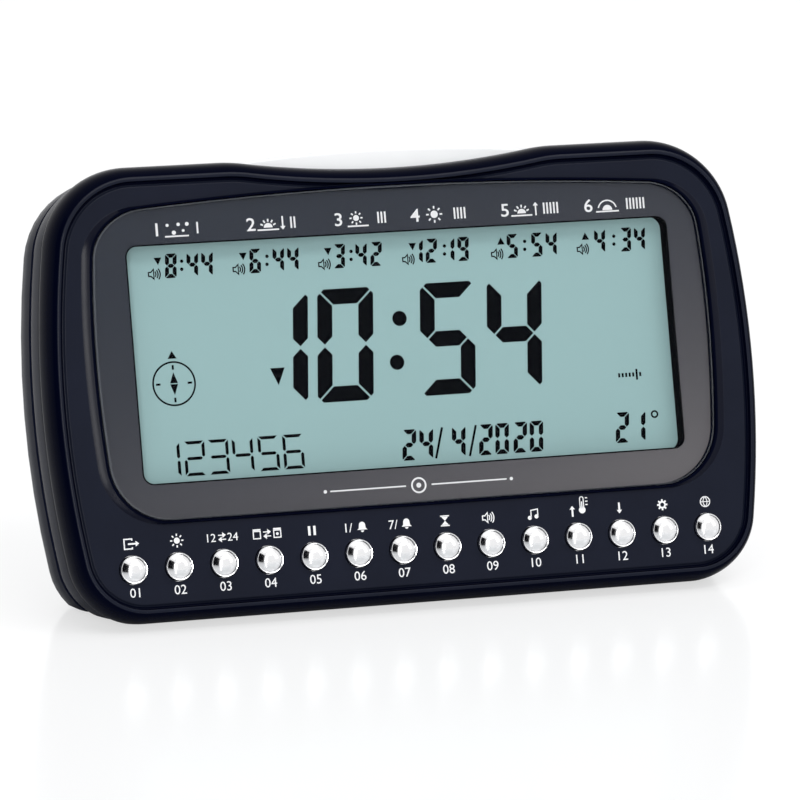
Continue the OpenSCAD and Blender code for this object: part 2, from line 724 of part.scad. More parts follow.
module snooze_bar() color([0.93, 0.94, 0.95]) on_face() {
    difference() {
        intersection() {
            bar_plan(0);
            translate([0, bar_front_d - 1, bar_top_v - bar_arch_r]) rotate([-90, 0, 0])
                cylinder(h = bar_back_d - bar_front_d + 2, r = bar_arch_r, $fn = 200);
        }
        block(-bar_half_l + bar_skin, bar_half_l - bar_skin, bar_front_d + bar_skin,
            bar_back_d - bar_skin, 0, case_top_v - 2.6);
    }
    difference() {
        block(-bar_half_l - bar_flange_lap, bar_half_l + bar_flange_lap, bar_front_d - 1,
            bar_back_d + 1, bar_flange_v, bar_flange_v + bar_flange_t);
        block(-bar_half_l + 14, -6, bar_front_d + 4, bar_back_d - 4, 0, case_top_v);
        block(6, bar_half_l - 14, bar_front_d + 4, bar_back_d - 4, 0, case_top_v);
    }
    block(-2, 2, back_d + 0.4, back_d + 3, bar_flange_v - bar_rib_h, bar_flange_v + eps);
    for (x = [-spring_x, spring_x]) translate([x, spring_d, bar_flange_v - 2])
        cylinder(h = 2 + eps, r = spring_r - spring_wire - 0.2);
}

module snooze_springs() color([0.7, 0.7, 0.72]) on_face() {
    for (x = [-spring_x, spring_x]) translate([x, spring_d, shelf_v])
        coil(spring_r, spring_r, bar_flange_v - shelf_v, spring_wire, 4);
}

// ---- Speaker ----

module speaker_frame() color([0.55, 0.56, 0.58]) on_face() {
    rim_d = grille_d - rim_t;
    magnet_r = speaker_r * 0.62;
    turned(speaker_x, speaker_v) polygon([[0, speaker_back_d], [magnet_r, speaker_back_d],
        [magnet_r, speaker_back_d + 6.5], [speaker_r - 3.6, rim_d], [speaker_r, rim_d],
        [speaker_r, grille_d], [speaker_r - 2, grille_d], [speaker_r - 2, grille_d - 1.3],
        [speaker_r - 4.4, rim_d + 0.6], [magnet_r - 1.4, speaker_back_d + 7.4],
        [0, speaker_back_d + 7.4]]);
}

module speaker_cone() color([0.14, 0.14, 0.15]) on_face() {
    t = 0.5;
    edge = speaker_r - 2.1;
    coil_r = speaker_r * 0.3;
    turned(speaker_x, speaker_v) polygon([[edge, grille_d - 0.9], [edge, grille_d - 1.3],
        [edge - 2.4, grille_d - 1.9], [coil_r, speaker_back_d + 9], [coil_r, speaker_back_d + 7.5],
        [coil_r - t, speaker_back_d + 7.5], [coil_r - t, speaker_back_d + 9.4],
        [0, speaker_back_d + 11.4], [0, speaker_back_d + 12], [coil_r, speaker_back_d + 9.7],
        [edge - 2.4, grille_d - 1.3]]);
}

module speaker_clamp() color([0.12, 0.12, 0.13]) on_face() {
    d1 = grille_d - rim_t;
    difference() {
        union() {
            rod(speaker_x, speaker_v, d1 - clamp_t, d1, speaker_r - 0.1);
            for (a = [90, 210, 330]) translate([speaker_x, 0, speaker_v]) rotate([0, -a, 0]) {
                block(speaker_r - 3, ear_r, d1 - clamp_t, d1, -2.2, 2.2);
                rod(ear_r, 0, d1 - clamp_t, d1, 2.2);
            }
        }
        rod(speaker_x, speaker_v, 0, bulge_d, speaker_r - 2.6);
        for (a = [90, 210, 330]) rod(speaker_x + ear_r * cos(a), speaker_v + ear_r * sin(a),
            d1 - 3, d1 + 1, small_screw_r + 0.2);
    }
}

module speaker_screws() color([0.75, 0.76, 0.78]) on_face() {
    d1 = grille_d - rim_t - clamp_t;
    for (a = [90, 210, 330]) translate([speaker_x + ear_r * cos(a), d1, speaker_v + ear_r * sin(a)]) {
        rotate([90, 0, 0]) cylinder(h = head_h + 0.5, r = small_screw_r * 2);
        rotate([-90, 0, 0]) cylinder(h = clamp_t + 2.6, r = small_screw_r);
    }
}

// ---- Batteries ----

function cell_v(i) = bay_v + cell_pitch * (i + 0.5);

// Odd cells are turned end for end
module along_cell(i) {
    translate([bay_x + bay_l / 2, cell_d, cell_v(i)]) rotate([0, i % 2 == 0 ? 90 : -90, 0]) children();
}
spring_face = -bay_l / 2 + plate_t;
cell_start = spring_face + spring_room;

module battery_cells() color([0.8, 0.65, 0.3]) on_face() {
    for (i = [0:cell_count - 1]) along_cell(i) rotate_extrude()
        polygon([[0, cell_start], [6.3, cell_start], [7.1 / 14.2 * cell_dia, cell_start + 0.8],
            [cell_dia / 2, cell_start + cell_l - 0.6], [cell_dia / 2 - 0.6, cell_start + cell_l],
            [2.75, cell_start + cell_l], [2.75, cell_start + cell_l + nub_l],
            [0, cell_start + cell_l + nub_l]]);
}

module battery_springs() color([0.78, 0.78, 0.76]) on_face() {
    for (i = [0:cell_count - 1]) along_cell(i) translate([0, 0, spring_face])
        coil(4.6, 2.6, spring_room, 0.7, 4);
}

module battery_plates() color([0.8, 0.79, 0.75]) on_face() {
    for (i = [0:cell_count - 1]) along_cell(i) {
        translate([-5.5, -5.5, -bay_l / 2 + 0.05]) cube([11, 11, plate_t - 0.05]);
        translate([-5.5, -5.5, bay_l / 2 - plate_t]) cube([11, 11, plate_t - 0.05]);
        translate([0, 0, cell_start + cell_l + nub_l + 0.05])
            cylinder(h = bay_l / 2 - plate_t - cell_start - cell_l - nub_l, r = 2);
    }
}

// Cover that swings on two pins at its top edge; a hooked tongue latches its lower edge
module battery_door() color([0.05, 0.055, 0.09]) on_face() {
    x0 = bay_x - door_lap;
    x1 = bay_end_x + door_lap;
    mid_x = (x0 + x1) / 2;
    difference() {
        union() {
            block(x0, x1, bulge_d - door_t, bulge_d, bay_v - door_lap, pivot_v);
            translate([x0, pivot_d, pivot_v]) rotate([0, 90, 0]) cylinder(h = x1 - x0, r = door_t / 2);
        }
        for (k = [0:4]) block(mid_x - 9, mid_x + 9, bulge_d - 0.5, bulge_d + 1,
            bay_v + 3 + 2 * k, bay_v + 4 + 2 * k);
    }
    translate([x0 - pivot_l, pivot_d, pivot_v]) rotate([0, 90, 0])
        cylinder(h = x1 - x0 + 2 * pivot_l, r = pivot_r);
    for (k = [-1:1]) block(mid_x + 18 * k - 0.6, mid_x + 18 * k + 0.6, bulge_d - door_t - 1.1,
        bulge_d - door_t + eps, bay_v + 4, bay_top_v - 2);
    block(mid_x - latch_half_w, mid_x + latch_half_w, latch_d, bulge_d - door_t + eps,
        bay_v + 0.1, bay_v + 1.3);
    block(mid_x - latch_half_w, mid_x + latch_half_w, latch_d, latch_d + 1.2,
        bay_v - latch_hook, bay_v + 0.1 + eps);
}

front_case();
rear_case();
display_lens();
lens_mask();
lcd_panel();
lcd_frame();
backlight_diffuser();
zebra_strips();
main_board();
board_parts();
snooze_switch();
temperature_sensor();
keypad_board();
keypad_mat();
ribbon_cable();
board_screws();
keypad_screws();
case_screws();
snooze_bar();
snooze_springs();
speaker_frame();
speaker_cone();
speaker_clamp();
speaker_screws();
battery_cells();
battery_springs();
battery_plates();
battery_door();
rubber_feet();
button(0);  // button_01
button(1);  // button_02
button(2);  // button_03
button(3);  // button_04
button(4);  // button_05
button(5);  // button_06
button(6);  // button_07
button(7);  // button_08
button(8);  // button_09
button(9);  // button_10
button(10);  // button_11
button(11);  // button_12
button(12);  // button_13
button(13);  // button_14
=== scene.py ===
import json
import math
import bpy
import bmesh
from mathutils import Matrix, Vector


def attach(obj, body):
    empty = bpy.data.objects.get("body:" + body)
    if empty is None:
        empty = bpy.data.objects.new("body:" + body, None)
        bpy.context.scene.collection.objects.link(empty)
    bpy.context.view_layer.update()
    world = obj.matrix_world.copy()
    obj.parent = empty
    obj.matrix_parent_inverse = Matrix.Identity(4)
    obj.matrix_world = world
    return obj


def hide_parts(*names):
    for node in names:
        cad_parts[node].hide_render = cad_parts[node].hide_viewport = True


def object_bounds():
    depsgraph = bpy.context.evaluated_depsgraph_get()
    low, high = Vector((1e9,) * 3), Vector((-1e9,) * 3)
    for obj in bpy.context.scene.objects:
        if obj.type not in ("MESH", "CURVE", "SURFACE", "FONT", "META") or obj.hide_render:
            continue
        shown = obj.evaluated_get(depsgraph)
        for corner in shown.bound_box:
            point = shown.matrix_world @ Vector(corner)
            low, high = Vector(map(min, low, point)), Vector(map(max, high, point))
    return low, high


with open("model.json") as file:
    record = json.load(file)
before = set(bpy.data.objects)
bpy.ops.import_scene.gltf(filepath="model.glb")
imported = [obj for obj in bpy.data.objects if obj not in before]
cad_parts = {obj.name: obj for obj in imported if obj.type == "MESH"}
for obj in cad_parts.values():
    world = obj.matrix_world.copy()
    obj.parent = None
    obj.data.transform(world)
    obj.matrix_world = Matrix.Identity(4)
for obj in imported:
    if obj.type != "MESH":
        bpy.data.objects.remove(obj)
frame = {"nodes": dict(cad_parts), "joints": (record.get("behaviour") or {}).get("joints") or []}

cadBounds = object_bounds()
joints = {joint["name"]: joint for joint in frame["joints"]}

# The face frame, in millimetres: x right, y into the clock (depth), z up the face from the button row
faceFrame = {"doorPivot": Vector((27.5, 43.9, 49.3))}
intoClock = Vector(joints["button_01_press"]["axis"])
lean = math.atan2(-intoClock.z, intoClock.y)
faceTurn = Matrix.Rotation(-lean, 4, "X")
doorPivot = Vector(joints["battery_door_swing"]["pos_m"])
faceOrigin = doorPivot - faceTurn @ (faceFrame["doorPivot"] * 0.001)
faceToWorld = Matrix.Translation(faceOrigin) @ faceTurn @ Matrix.Scale(0.001, 4)
print("face frame found, lean", round(math.degrees(lean), 2))


# Camera, light and floor
studio = {
    "cameraTurn": 18.02,
    "cameraLift": 11.82,
    "cameraDistance": 1.28269,
    "target": Vector((-0.00623, 0, 0.03622)),   # from the button row's centre
    "lens": 245.61,
    "worldLevel": 0.6,
    "floorGlow": 0.55,
    "glowLevel": 1.16,
    "floorSize": 12,
    "aim": (0, 0, 0.05),
    "lamps": [("topBox", (0, 0.1, 1.4), (1.6, 1.2), 1.8),   # name, place, size, power
              ("leftStrip", (-0.62, -1.24, 0.47), (0.16, 0.8), 5.6),
              ("crestStrip", (0.25, -0.78, 1.18), (1.2, 0.35), 6.5),
              ("rightBox", (1.2, -0.9, 0.8), (0.6, 0.9), 1.5)],
    "flagPlace": (-0.5, -0.17, 0.28),
    "flagSize": (0.62, 0.56),
    "flagAim": (0, 0, 0.28),
}


def addCamera():
    turn = math.radians(studio["cameraTurn"])
    lift = math.radians(studio["cameraLift"])
    back = Vector((-math.sin(turn) * math.cos(lift), -math.cos(turn) * math.cos(lift), math.sin(lift)))
    data = bpy.data.cameras.new("camera")
    data.lens = studio["lens"]
    data.sensor_width = 36
    data.clip_start = 0.05
    data.clip_end = 100
    camera = bpy.data.objects.new("camera", data)
    bpy.context.scene.collection.objects.link(camera)
    camera.location = faceOrigin + studio["target"] + studio["cameraDistance"] * back
    camera.rotation_euler = back.to_track_quat("Z", "Y").to_euler()
    bpy.context.scene.camera = camera


def addSoftbox(name, position, size, power, aim):
    data = bpy.data.lights.new(name, "AREA")
    data.shape = "RECTANGLE"
    data.size = size[0]
    data.size_y = size[1]
    data.energy = power
    lamp = bpy.data.objects.new(name, data)
    bpy.context.scene.collection.objects.link(lamp)
    lamp.location = position
    lamp.rotation_euler = (Vector(position) - Vector(aim)).to_track_quat("Z", "Y").to_euler()


# Matt black card beside the set, seen only in the gloss and the chrome, as a studio's flag is
def addFlag(name, position, size, aim):
    black = bpy.data.materials.new(name)
    black.use_nodes = True
    paint = black.node_tree.nodes["Principled BSDF"]
    paint.inputs["Base Color"].default_value = (0.004, 0.004, 0.006, 1)
    paint.inputs["Roughness"].default_value = 1
    paint.inputs["Specular IOR Level"].default_value = 0
    bm = bmesh.new()
    bmesh.ops.create_grid(bm, x_segments=2, y_segments=2, size=0.5)
    bmesh.ops.scale(bm, verts=bm.verts, vec=(size[0], size[1], 1))
    mesh = bpy.data.meshes.new(name)
    bm.to_mesh(mesh)
    bm.free()
    mesh.materials.append(black)
    card = bpy.data.objects.new(name, mesh)
    bpy.context.scene.collection.objects.link(card)
    card.location = position
    card.rotation_euler = (Vector(position) - Vector(aim)).to_track_quat("Z", "Y").to_euler()
    card.visible_camera = False
    card.visible_diffuse = False
    card.visible_transmission = False
    card.visible_shadow = False


def buildStudio():
    addCamera()
    for name, position, size, power in studio["lamps"]:
        addSoftbox(name, position, size, power, studio["aim"])
    addFlag("leftFlag", studio["flagPlace"], studio["flagSize"], studio["flagAim"])
    world = bpy.data.worlds.new("studio")
    bpy.context.scene.world = world
    world.use_nodes = True
    nodes, links = world.node_tree.nodes, world.node_tree.links
    nodes.clear()
    out = nodes.new("ShaderNodeOutputWorld")
    path = nodes.new("ShaderNodeLightPath")
    soft = nodes.new("ShaderNodeBackground")
    soft.inputs["Color"].default_value = (0.96, 0.98, 1, 1)
    soft.inputs["Strength"].default_value = studio["worldLevel"]
    white = nodes.new("ShaderNodeBackground")
    white.inputs["Color"].default_value = (1, 1, 1, 1)
    white.inputs["Strength"].default_value = 1
    seen = nodes.new("ShaderNodeMath")
    seen.operation = "MAXIMUM"
    clear = nodes.new("ShaderNodeMath")
    clear.operation = "MAXIMUM"
    mix = nodes.new("ShaderNodeMixShader")
    links.new(path.outputs["Is Camera Ray"], seen.inputs[0])
    links.new(path.outputs["Is Glossy Ray"], seen.inputs[1])
    links.new(seen.outputs[0], clear.inputs[0])
    links.new(path.outputs["Is Transmission Ray"], clear.inputs[1])
    links.new(clear.outputs[0], mix.inputs[0])
    links.new(soft.outputs[0], mix.inputs[1])
    links.new(white.outputs[0], mix.inputs[2])
    links.new(mix.outputs[0], out.inputs["Surface"])
    bpy.context.scene.view_settings.view_transform = "Standard"
    # Floor: half lit by the lamps, half white to the camera, so that its shadow stays soft
    floorMaterial = bpy.data.materials.new("paleFloor")
    floorMaterial.use_nodes = True
    nodes, links = floorMaterial.node_tree.nodes, floorMaterial.node_tree.links
    paint = nodes["Principled BSDF"]
    paint.inputs["Base Color"].default_value = (0.93, 0.935, 0.94, 1)
    paint.inputs["Roughness"].default_value = 0.16
    paint.inputs["Specular IOR Level"].default_value = 0.5
    glow = nodes.new("ShaderNodeEmission")
    glow.inputs["Strength"].default_value = studio["glowLevel"]
    share = nodes.new("ShaderNodeMath")
    share.operation = "MULTIPLY"
    share.inputs[1].default_value = studio["floorGlow"]
    path = nodes.new("ShaderNodeLightPath")
    mix = nodes.new("ShaderNodeMixShader")
    links.new(path.outputs["Is Camera Ray"], share.inputs[0])
    links.new(share.outputs[0], mix.inputs[0])
    links.new(paint.outputs[0], mix.inputs[1])
    links.new(glow.outputs[0], mix.inputs[2])
    links.new(mix.outputs[0], nodes["Material Output"].inputs["Surface"])
    bm = bmesh.new()
    bmesh.ops.create_grid(bm, x_segments=2, y_segments=2, size=studio["floorSize"] / 2)
    mesh = bpy.data.meshes.new("floor")
    bm.to_mesh(mesh)
    bm.free()
    mesh.materials.append(floorMaterial)
    floor = bpy.data.objects.new("floor", mesh)
    bpy.context.scene.collection.objects.link(floor)
    floor.location.z = cadBounds[0][2] - 0.0002


buildStudio()
print("studio ready")


# Principled finish with a slow tint, an uneven gloss and a fine bump, all in Object coordinates
def newMaterial(name, color, roughness, metallic=0, bump=0, bumpScale=900, tint=0.08, tintScale=60,
                specular=0.5, roughSpread=0.05):
    material = bpy.data.materials.new(name)
    material.use_nodes = True
    nodes, links = material.node_tree.nodes, material.node_tree.links
    skin = nodes["Principled BSDF"]
    skin.inputs["Metallic"].default_value = metallic
    skin.inputs["Specular IOR Level"].default_value = specular
    place = nodes.new("ShaderNodeTexCoord")
    slow = nodes.new("ShaderNodeTexNoise")
    slow.inputs["Scale"].default_value = tintScale
    slow.inputs["Detail"].default_value = 4
    links.new(place.outputs["Object"], slow.inputs["Vector"])
    shade = nodes.new("ShaderNodeMix")
    shade.data_type = "RGBA"
    shade.inputs["A"].default_value = (*[c * (1 - tint) for c in color], 1)
    shade.inputs["B"].default_value = (*[min(1, c * (1 + tint)) for c in color], 1)
    links.new(slow.outputs["Fac"], shade.inputs["Factor"])
    links.new(shade.outputs["Result"], skin.inputs["Base Color"])
    rough = nodes.new("ShaderNodeMapRange")
    rough.inputs["To Min"].default_value = max(0, roughness - roughSpread)
    rough.inputs["To Max"].default_value = roughness + roughSpread
    links.new(slow.outputs["Fac"], rough.inputs["Value"])
    links.new(rough.outputs["Result"], skin.inputs["Roughness"])
    if bump:
        fine = nodes.new("ShaderNodeTexNoise")
        fine.inputs["Scale"].default_value = bumpScale
        fine.inputs["Detail"].default_value = 3
        links.new(place.outputs["Object"], fine.inputs["Vector"])
        raised = nodes.new("ShaderNodeBump")
        raised.inputs["Strength"].default_value = bump
        raised.inputs["Distance"].default_value = 0.0001
        links.new(fine.outputs["Fac"], raised.inputs["Height"])
        links.new(raised.outputs["Normal"], skin.inputs["Normal"])
    return material


finish = {
    "navyGloss": newMaterial("navyGloss", (0.0085, 0.0105, 0.02), 0.24, bump=0.06, bumpScale=700, tint=0.2,
                             specular=0.08),
    # Near-black copy of the navy: painted shade on the roll, the grooves and the lens's seat
    "paintedShadeNavy": newMaterial("paintedShadeNavy", (0.0008, 0.0015, 0.0075), 0.18, bump=0.04, bumpScale=700, tint=0.2,
                            specular=0.012),
    "sideGloss": newMaterial("sideGloss", (0.005, 0.0065, 0.016), 0.22, bump=0.06, bumpScale=700, tint=0.2,
                             specular=0.012),
    # Darker, glossier copy of the navy for the slope up to the lens: painted shade
    "paintedShadeSlope": newMaterial("paintedShadeSlope", (0.0012, 0.0022, 0.0095), 0.2, bump=0.05, bumpScale=700, tint=0.2,
                             specular=0.1),
    "greyPrint": newMaterial("greyPrint", (0.05, 0.049, 0.051), 0.3, tint=0.3, tintScale=9,
                             specular=0.3),
    "clearLens": newMaterial("clearLens", (0.01, 0.01, 0.012), 0.05, roughSpread=0.02),
    # Pale grey on the clear lens's edge faces: painted highlight
    "lensEdgeHighlight": newMaterial("lensEdgeHighlight", (0.3, 0.32, 0.34), 0.2),
    "lcdGlass": newMaterial("lcdGlass", (0.25, 0.385, 0.388), 0.4, tint=0.03, tintScale=14, specular=0.2),
    # The display's ink, also used as black painted shade on the window's wall and round the window on the
    # mask
    "inkAndPaintedShade": newMaterial("inkAndPaintedShade", (0.0015, 0.002, 0.003), 0.5, tint=0.2, specular=0),
    "whitePrint": newMaterial("whitePrint", (0.86, 0.86, 0.87), 0.5, bump=0.1, bumpScale=2000, tint=0.04),
    "chrome": newMaterial("chrome", (0.86, 0.86, 0.87), 0.14, metallic=1, bump=0.03, bumpScale=500, tint=0.03,
                          roughSpread=0.03),
    "paleBar": newMaterial("paleBar", (0.92, 0.925, 0.93), 0.22, bump=0.05, tint=0.03),
    "footRubber": newMaterial("footRubber", (0.018, 0.018, 0.019), 0.75, bump=0.5, bumpScale=1500),
    "zincSteel": newMaterial("zincSteel", (0.58, 0.59, 0.6), 0.32, metallic=1, bump=0.2, bumpScale=1200),
    "nickel": newMaterial("nickel", (0.66, 0.64, 0.6), 0.28, metallic=1, bump=0.15, bumpScale=1000),
    "greenBoard": newMaterial("greenBoard", (0.02, 0.12, 0.05), 0.38, bump=0.3, bumpScale=500, tint=0.25,
                              tintScale=300),
    "tanBoard": newMaterial("tanBoard", (0.33, 0.2, 0.075), 0.6, bump=0.3, bumpScale=700, tint=0.15),
    "blackPart": newMaterial("blackPart", (0.022, 0.022, 0.024), 0.45, bump=0.3, bumpScale=1000),
    "silicone": newMaterial("silicone", (0.55, 0.55, 0.52), 0.6, bump=0.2, bumpScale=900),
    "whitePlastic": newMaterial("whitePlastic", (0.78, 0.78, 0.76), 0.4, bump=0.15, bumpScale=900),
    "diffuser": newMaterial("diffuser", (0.85, 0.87, 0.85), 0.5, bump=0.2, bumpScale=600),
    "ribbonGrey": newMaterial("ribbonGrey", (0.5, 0.5, 0.47), 0.45, bump=0.3, bumpScale=700),
    "speakerSteel": newMaterial("speakerSteel", (0.4, 0.4, 0.42), 0.35, metallic=1, bump=0.2, bumpScale=900),
    "conePaper": newMaterial("conePaper", (0.02, 0.02, 0.022), 0.8, bump=0.7, bumpScale=1100),
    "cellJacket": newMaterial("cellJacket", (0.6, 0.4, 0.08), 0.3, bump=0.05, tint=0.1),
}


printPaintedReflection = {"dark": (0.021, 0.027, 0.041), "light": (0.148, 0.139, 0.147), "slope": (0.25, 0, -0.852),
              "start": -0.1006, "end": -0.0066, "bend": 2.5, "grain": 0.25}
lcdPaintedGlow = {"color": (0.37, 0.56, 0.565), "strength": 0.2}


# Runs the base colour from dark to light along a slope: a painted reflection, the light that the print shows
# under its lens
def paintReflectionGrade(material, grade):
    nodes, links = material.node_tree.nodes, material.node_tree.links
    place = nodes.new("ShaderNodeTexCoord")
    along = nodes.new("ShaderNodeVectorMath")
    along.operation = "DOT_PRODUCT"
    along.inputs[1].default_value = grade["slope"]
    links.new(place.outputs["Object"], along.inputs[0])
    share = nodes.new("ShaderNodeMapRange")
    share.inputs["From Min"].default_value = grade["start"]
    share.inputs["From Max"].default_value = grade["end"]
    links.new(along.outputs["Value"], share.inputs["Value"])
    bent = nodes.new("ShaderNodeMath")
    bent.operation = "POWER"
    bent.inputs[1].default_value = grade["bend"]
    links.new(share.outputs["Result"], bent.inputs[0])
    shade = nodes.new("ShaderNodeMix")
    shade.data_type = "RGBA"
    shade.inputs["A"].default_value = (*grade["dark"], 1)
    shade.inputs["B"].default_value = (*grade["light"], 1)
    links.new(bent.outputs[0], shade.inputs["Factor"])
    fine = nodes.new("ShaderNodeMix")
    fine.data_type = "RGBA"
    fine.blend_type = "MULTIPLY"
    fine.inputs["Factor"].default_value = grade["grain"]
    links.new(shade.outputs["Result"], fine.inputs["A"])
    links.new(nodes["Noise Texture"].outputs["Fac"], fine.inputs["B"])
    links.new(fine.outputs["Result"], nodes["Principled BSDF"].inputs["Base Color"])


# Painted reflection across the grey print
paintReflectionGrade(finish["greyPrint"], printPaintedReflection)
# A weak glow, painted light, stands for the reflector behind the display's glass and lifts the shade in its
# recess
lcdSkin = finish["lcdGlass"].node_tree.nodes["Principled BSDF"]
lcdSkin.inputs["Emission Color"].default_value = (*lcdPaintedGlow["color"], 1)
lcdSkin.inputs["Emission Strength"].default_value = lcdPaintedGlow["strength"]
for name, alpha in (("clearLens", 0.045), ("lensEdgeHighlight", 0.22)):
    finish[name].node_tree.nodes["Principled BSDF"].inputs["Alpha"].default_value = alpha
print("materials ready:", len(finish))


# Moves a bmesh drawn in face millimetres into the shared frame and makes a finished piece of it
def addPiece(name, bm, materials, body="case", replaces=(), sharp=32):
    bmesh.ops.recalc_face_normals(bm, faces=bm.faces)
    bmesh.ops.transform(bm, matrix=faceToWorld, verts=bm.verts)
    limit = math.radians(sharp)
    for edge in bm.edges:
        edge.smooth = len(edge.link_faces) == 2 and edge.calc_face_angle(math.pi) < limit
    for face in bm.faces:
        face.smooth = True
    mesh = bpy.data.meshes.new(name)
    bm.to_mesh(mesh)
    bm.free()
    for material in materials:
        mesh.materials.append(finish[material])
    piece = bpy.data.objects.new(name, mesh)
    bpy.context.scene.collection.objects.link(piece)
    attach(piece, body)
    if replaces:
        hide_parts(*replaces)
    return piece


def arcPoints(center, radius, start, end, steps):
    points = []
    for i in range(steps + 1):
        a = math.radians(start + (end - start) * i / steps)
        points.append((center[0] + radius * math.cos(a), center[1] + radius * math.sin(a)))
    return points


# Points per stretch, the same for every outline, so that rings of different outlines can be joined
outlineSteps = {"low": 6, "corner": 20, "side": 16, "top": 22, "blend": 6}


# Right half of an outline with a bowed side and two round corners, from the bottom up
def bowedHalf(size, inset):
    w, mid, bow = size["halfWidth"], size["mid"], size["bow"]
    low, lowR, high, highR = size["low"], size["lowRadius"], size["high"], size["highRadius"]
    cx = w - bow
    lowC = (cx + math.sqrt((bow - lowR) ** 2 - (low + lowR - mid) ** 2), low + lowR)
    highC = (cx + math.sqrt((bow - highR) ** 2 - (high - highR - mid) ** 2), high - highR)
    lowA = math.degrees(math.asin((low + lowR - mid) / (bow - lowR)))
    highA = math.degrees(math.asin((high - highR - mid) / (bow - highR)))
    return (arcPoints(lowC, lowR - inset, -90, lowA, outlineSteps["corner"])
            + arcPoints((cx, mid), bow - inset, lowA, highA, outlineSteps["side"])[1:-1]
            + arcPoints(highC, highR - inset, highA, 90, outlineSteps["corner"]))


# Whole outline from its right half, which runs from the bottom middle to the top middle
def mirrored(half):
    return half + [(-x, v) for x, v in reversed(half) if x > 0.01]


caseSize = {
    "halfWidth": 88.3, "mid": 40, "bow": 236, "low": -12.7, "lowRadius": 17, "high": 94.7, "highRadius": 21,
    "dipDepth": 3.3, "dipHalf": 42, "dipBlend": 40,
}
lensSize = {
    "halfWidth": 76.4, "mid": 50, "bow": 300, "low": 10.9, "lowRadius": 14.5, "high": 86.4, "highRadius": 12,
    "crown": 840, "sideReach": 60, "bevel": [(0, 0.4), (0.12, 0.2), (0.4, 0)], "printGap": 0.06,
}
windowSize = {"halfWidth": 67.3, "low": 19.7, "high": 75.4, "radius": 2.5}


# Points along the bottom edge from its middle to the first corner point
def lowEdge(half):
    x, v = half[0]
    return [(x * i / outlineSteps["low"], v) for i in range(outlineSteps["low"])]


def caseOutline(inset):
    c = caseSize
    turn = math.degrees(2 * math.atan(c["dipDepth"] / c["dipHalf"]))
    hollow = c["dipHalf"] / math.sin(math.radians(turn)) - c["dipBlend"]
    half = bowedHalf(c, inset)
    steps = outlineSteps["blend"]
    blend = arcPoints((c["dipHalf"], c["high"] - c["dipBlend"]), c["dipBlend"] - inset, 90, 90 + turn, steps)
    dip = arcPoints((0, c["high"] - c["dipDepth"] + hollow), hollow + inset, turn - 90, -90,
                    outlineSteps["top"] - steps - 1)
    return mirrored(lowEdge(half) + half + blend + dip[1:])


# The lens, grown by side at its sides and by end at its top and bottom
def lensOutline(inset, side=0, end=0):
    c = dict(lensSize)
    c["low"] -= end
    c["high"] += end
    c["lowRadius"] += end
    c["highRadius"] += end
    half = bowedHalf(c, inset)
    x0, top = half[-1]
    steps = outlineSteps["top"]
    half = [(x + side * min(1, abs(x) / c["sideReach"]) ** 8, v) for x, v in half]
    across = [(x0 * (1 - (i + 1) / steps), top) for i in range(steps)]
    points = mirrored(lowEdge(half) + half + across)
    reach = c["high"] - c["mid"]
    return [(x, v - max(0, (v - c["mid"]) / reach) * x * x / (2 * c["crown"])) for x, v in points]


# The window, with as many points as the case outline and its corners in the same places
def windowOutline(grow):
    w = windowSize
    r = w["radius"] + grow
    right, low, high = w["halfWidth"] + grow, w["low"] - grow, w["high"] + grow
    corner, rows, steps = (outlineSteps[k] for k in ("corner", "side", "top"))
    half = arcPoints((right - r, low + r), r, -90, 0, corner)
    half += [(right, low + r + (high - low - 2 * r) * i / rows) for i in range(1, rows)]
    half += arcPoints((right - r, high - r), r, 0, 90, corner)
    across = [((right - r) * (1 - (i + 1) / steps), high) for i in range(steps)]
    return mirrored(lowEdge(half) + half + across)


# Lofts a bmesh through (outline, depth) rings: one circle, extruded edge by edge and reshaped
def loftRings(rings, close=False, tones=None):
    bm = bmesh.new()
    index = bm.verts.layers.int.new("place")
    count = len(rings[0][0])
    first = bmesh.ops.create_circle(bm, segments=count, radius=1)["verts"]
    for i, vert in enumerate(first):
        vert[index] = i
    firstEdges = list(bm.edges)
    edges = firstEdges

    def shape(verts, outline, depth):
        for vert in verts:
            x, v = outline[vert[index]]
            vert.co = (x, depth, v)

    shape(first, *rings[0])
    for step, (outline, depth) in enumerate(rings[1:]):
        grown = bmesh.ops.extrude_edge_only(bm, edges=edges)["geom"]
        for face in grown:
            if isinstance(face, bmesh.types.BMFace):
                face.material_index = tones[step] if tones else 0
        edges = [g for g in grown if isinstance(g, bmesh.types.BMEdge)]
        shape([g for g in grown if isinstance(g, bmesh.types.BMVert)], outline, depth)
    if close:
        bmesh.ops.bridge_loops(bm, edges=edges + firstEdges)
    return bm, first


# Applies a piece's modifiers to its mesh
def bake(piece):
    graph = bpy.context.evaluated_depsgraph_get()
    mesh = bpy.data.meshes.new_from_object(piece.evaluated_get(graph))
    piece.modifiers.clear()
    piece.data = mesh


housingTones = ["navyGloss", "paintedShadeNavy", "sideGloss", "inkAndPaintedShade", "paintedShadeSlope"]


def looseObject(name, bm):
    bmesh.ops.recalc_face_normals(bm, faces=bm.faces)
    mesh = bpy.data.meshes.new(name)
    bm.to_mesh(mesh)
    bm.free()
    for material in housingTones:
        mesh.materials.append(finish[material])
    thing = bpy.data.objects.new(name, mesh)
    bpy.context.scene.collection.objects.link(thing)
    return thing


# Cuts one bmesh out of another, both in face millimetres, into a new bmesh
def cutWith(bm, cutter):
    base = looseObject("base", bm)
    tool = looseObject("tool", cutter)
    cut = base.modifiers.new("cut", "BOOLEAN")
    cut.object = tool
    cut.operation = "DIFFERENCE"
    cut.solver = "EXACT"
    bake(base)
    out = bmesh.new()
    out.from_mesh(base.data)
    bpy.data.objects.remove(base)
    bpy.data.objects.remove(tool)
    return out


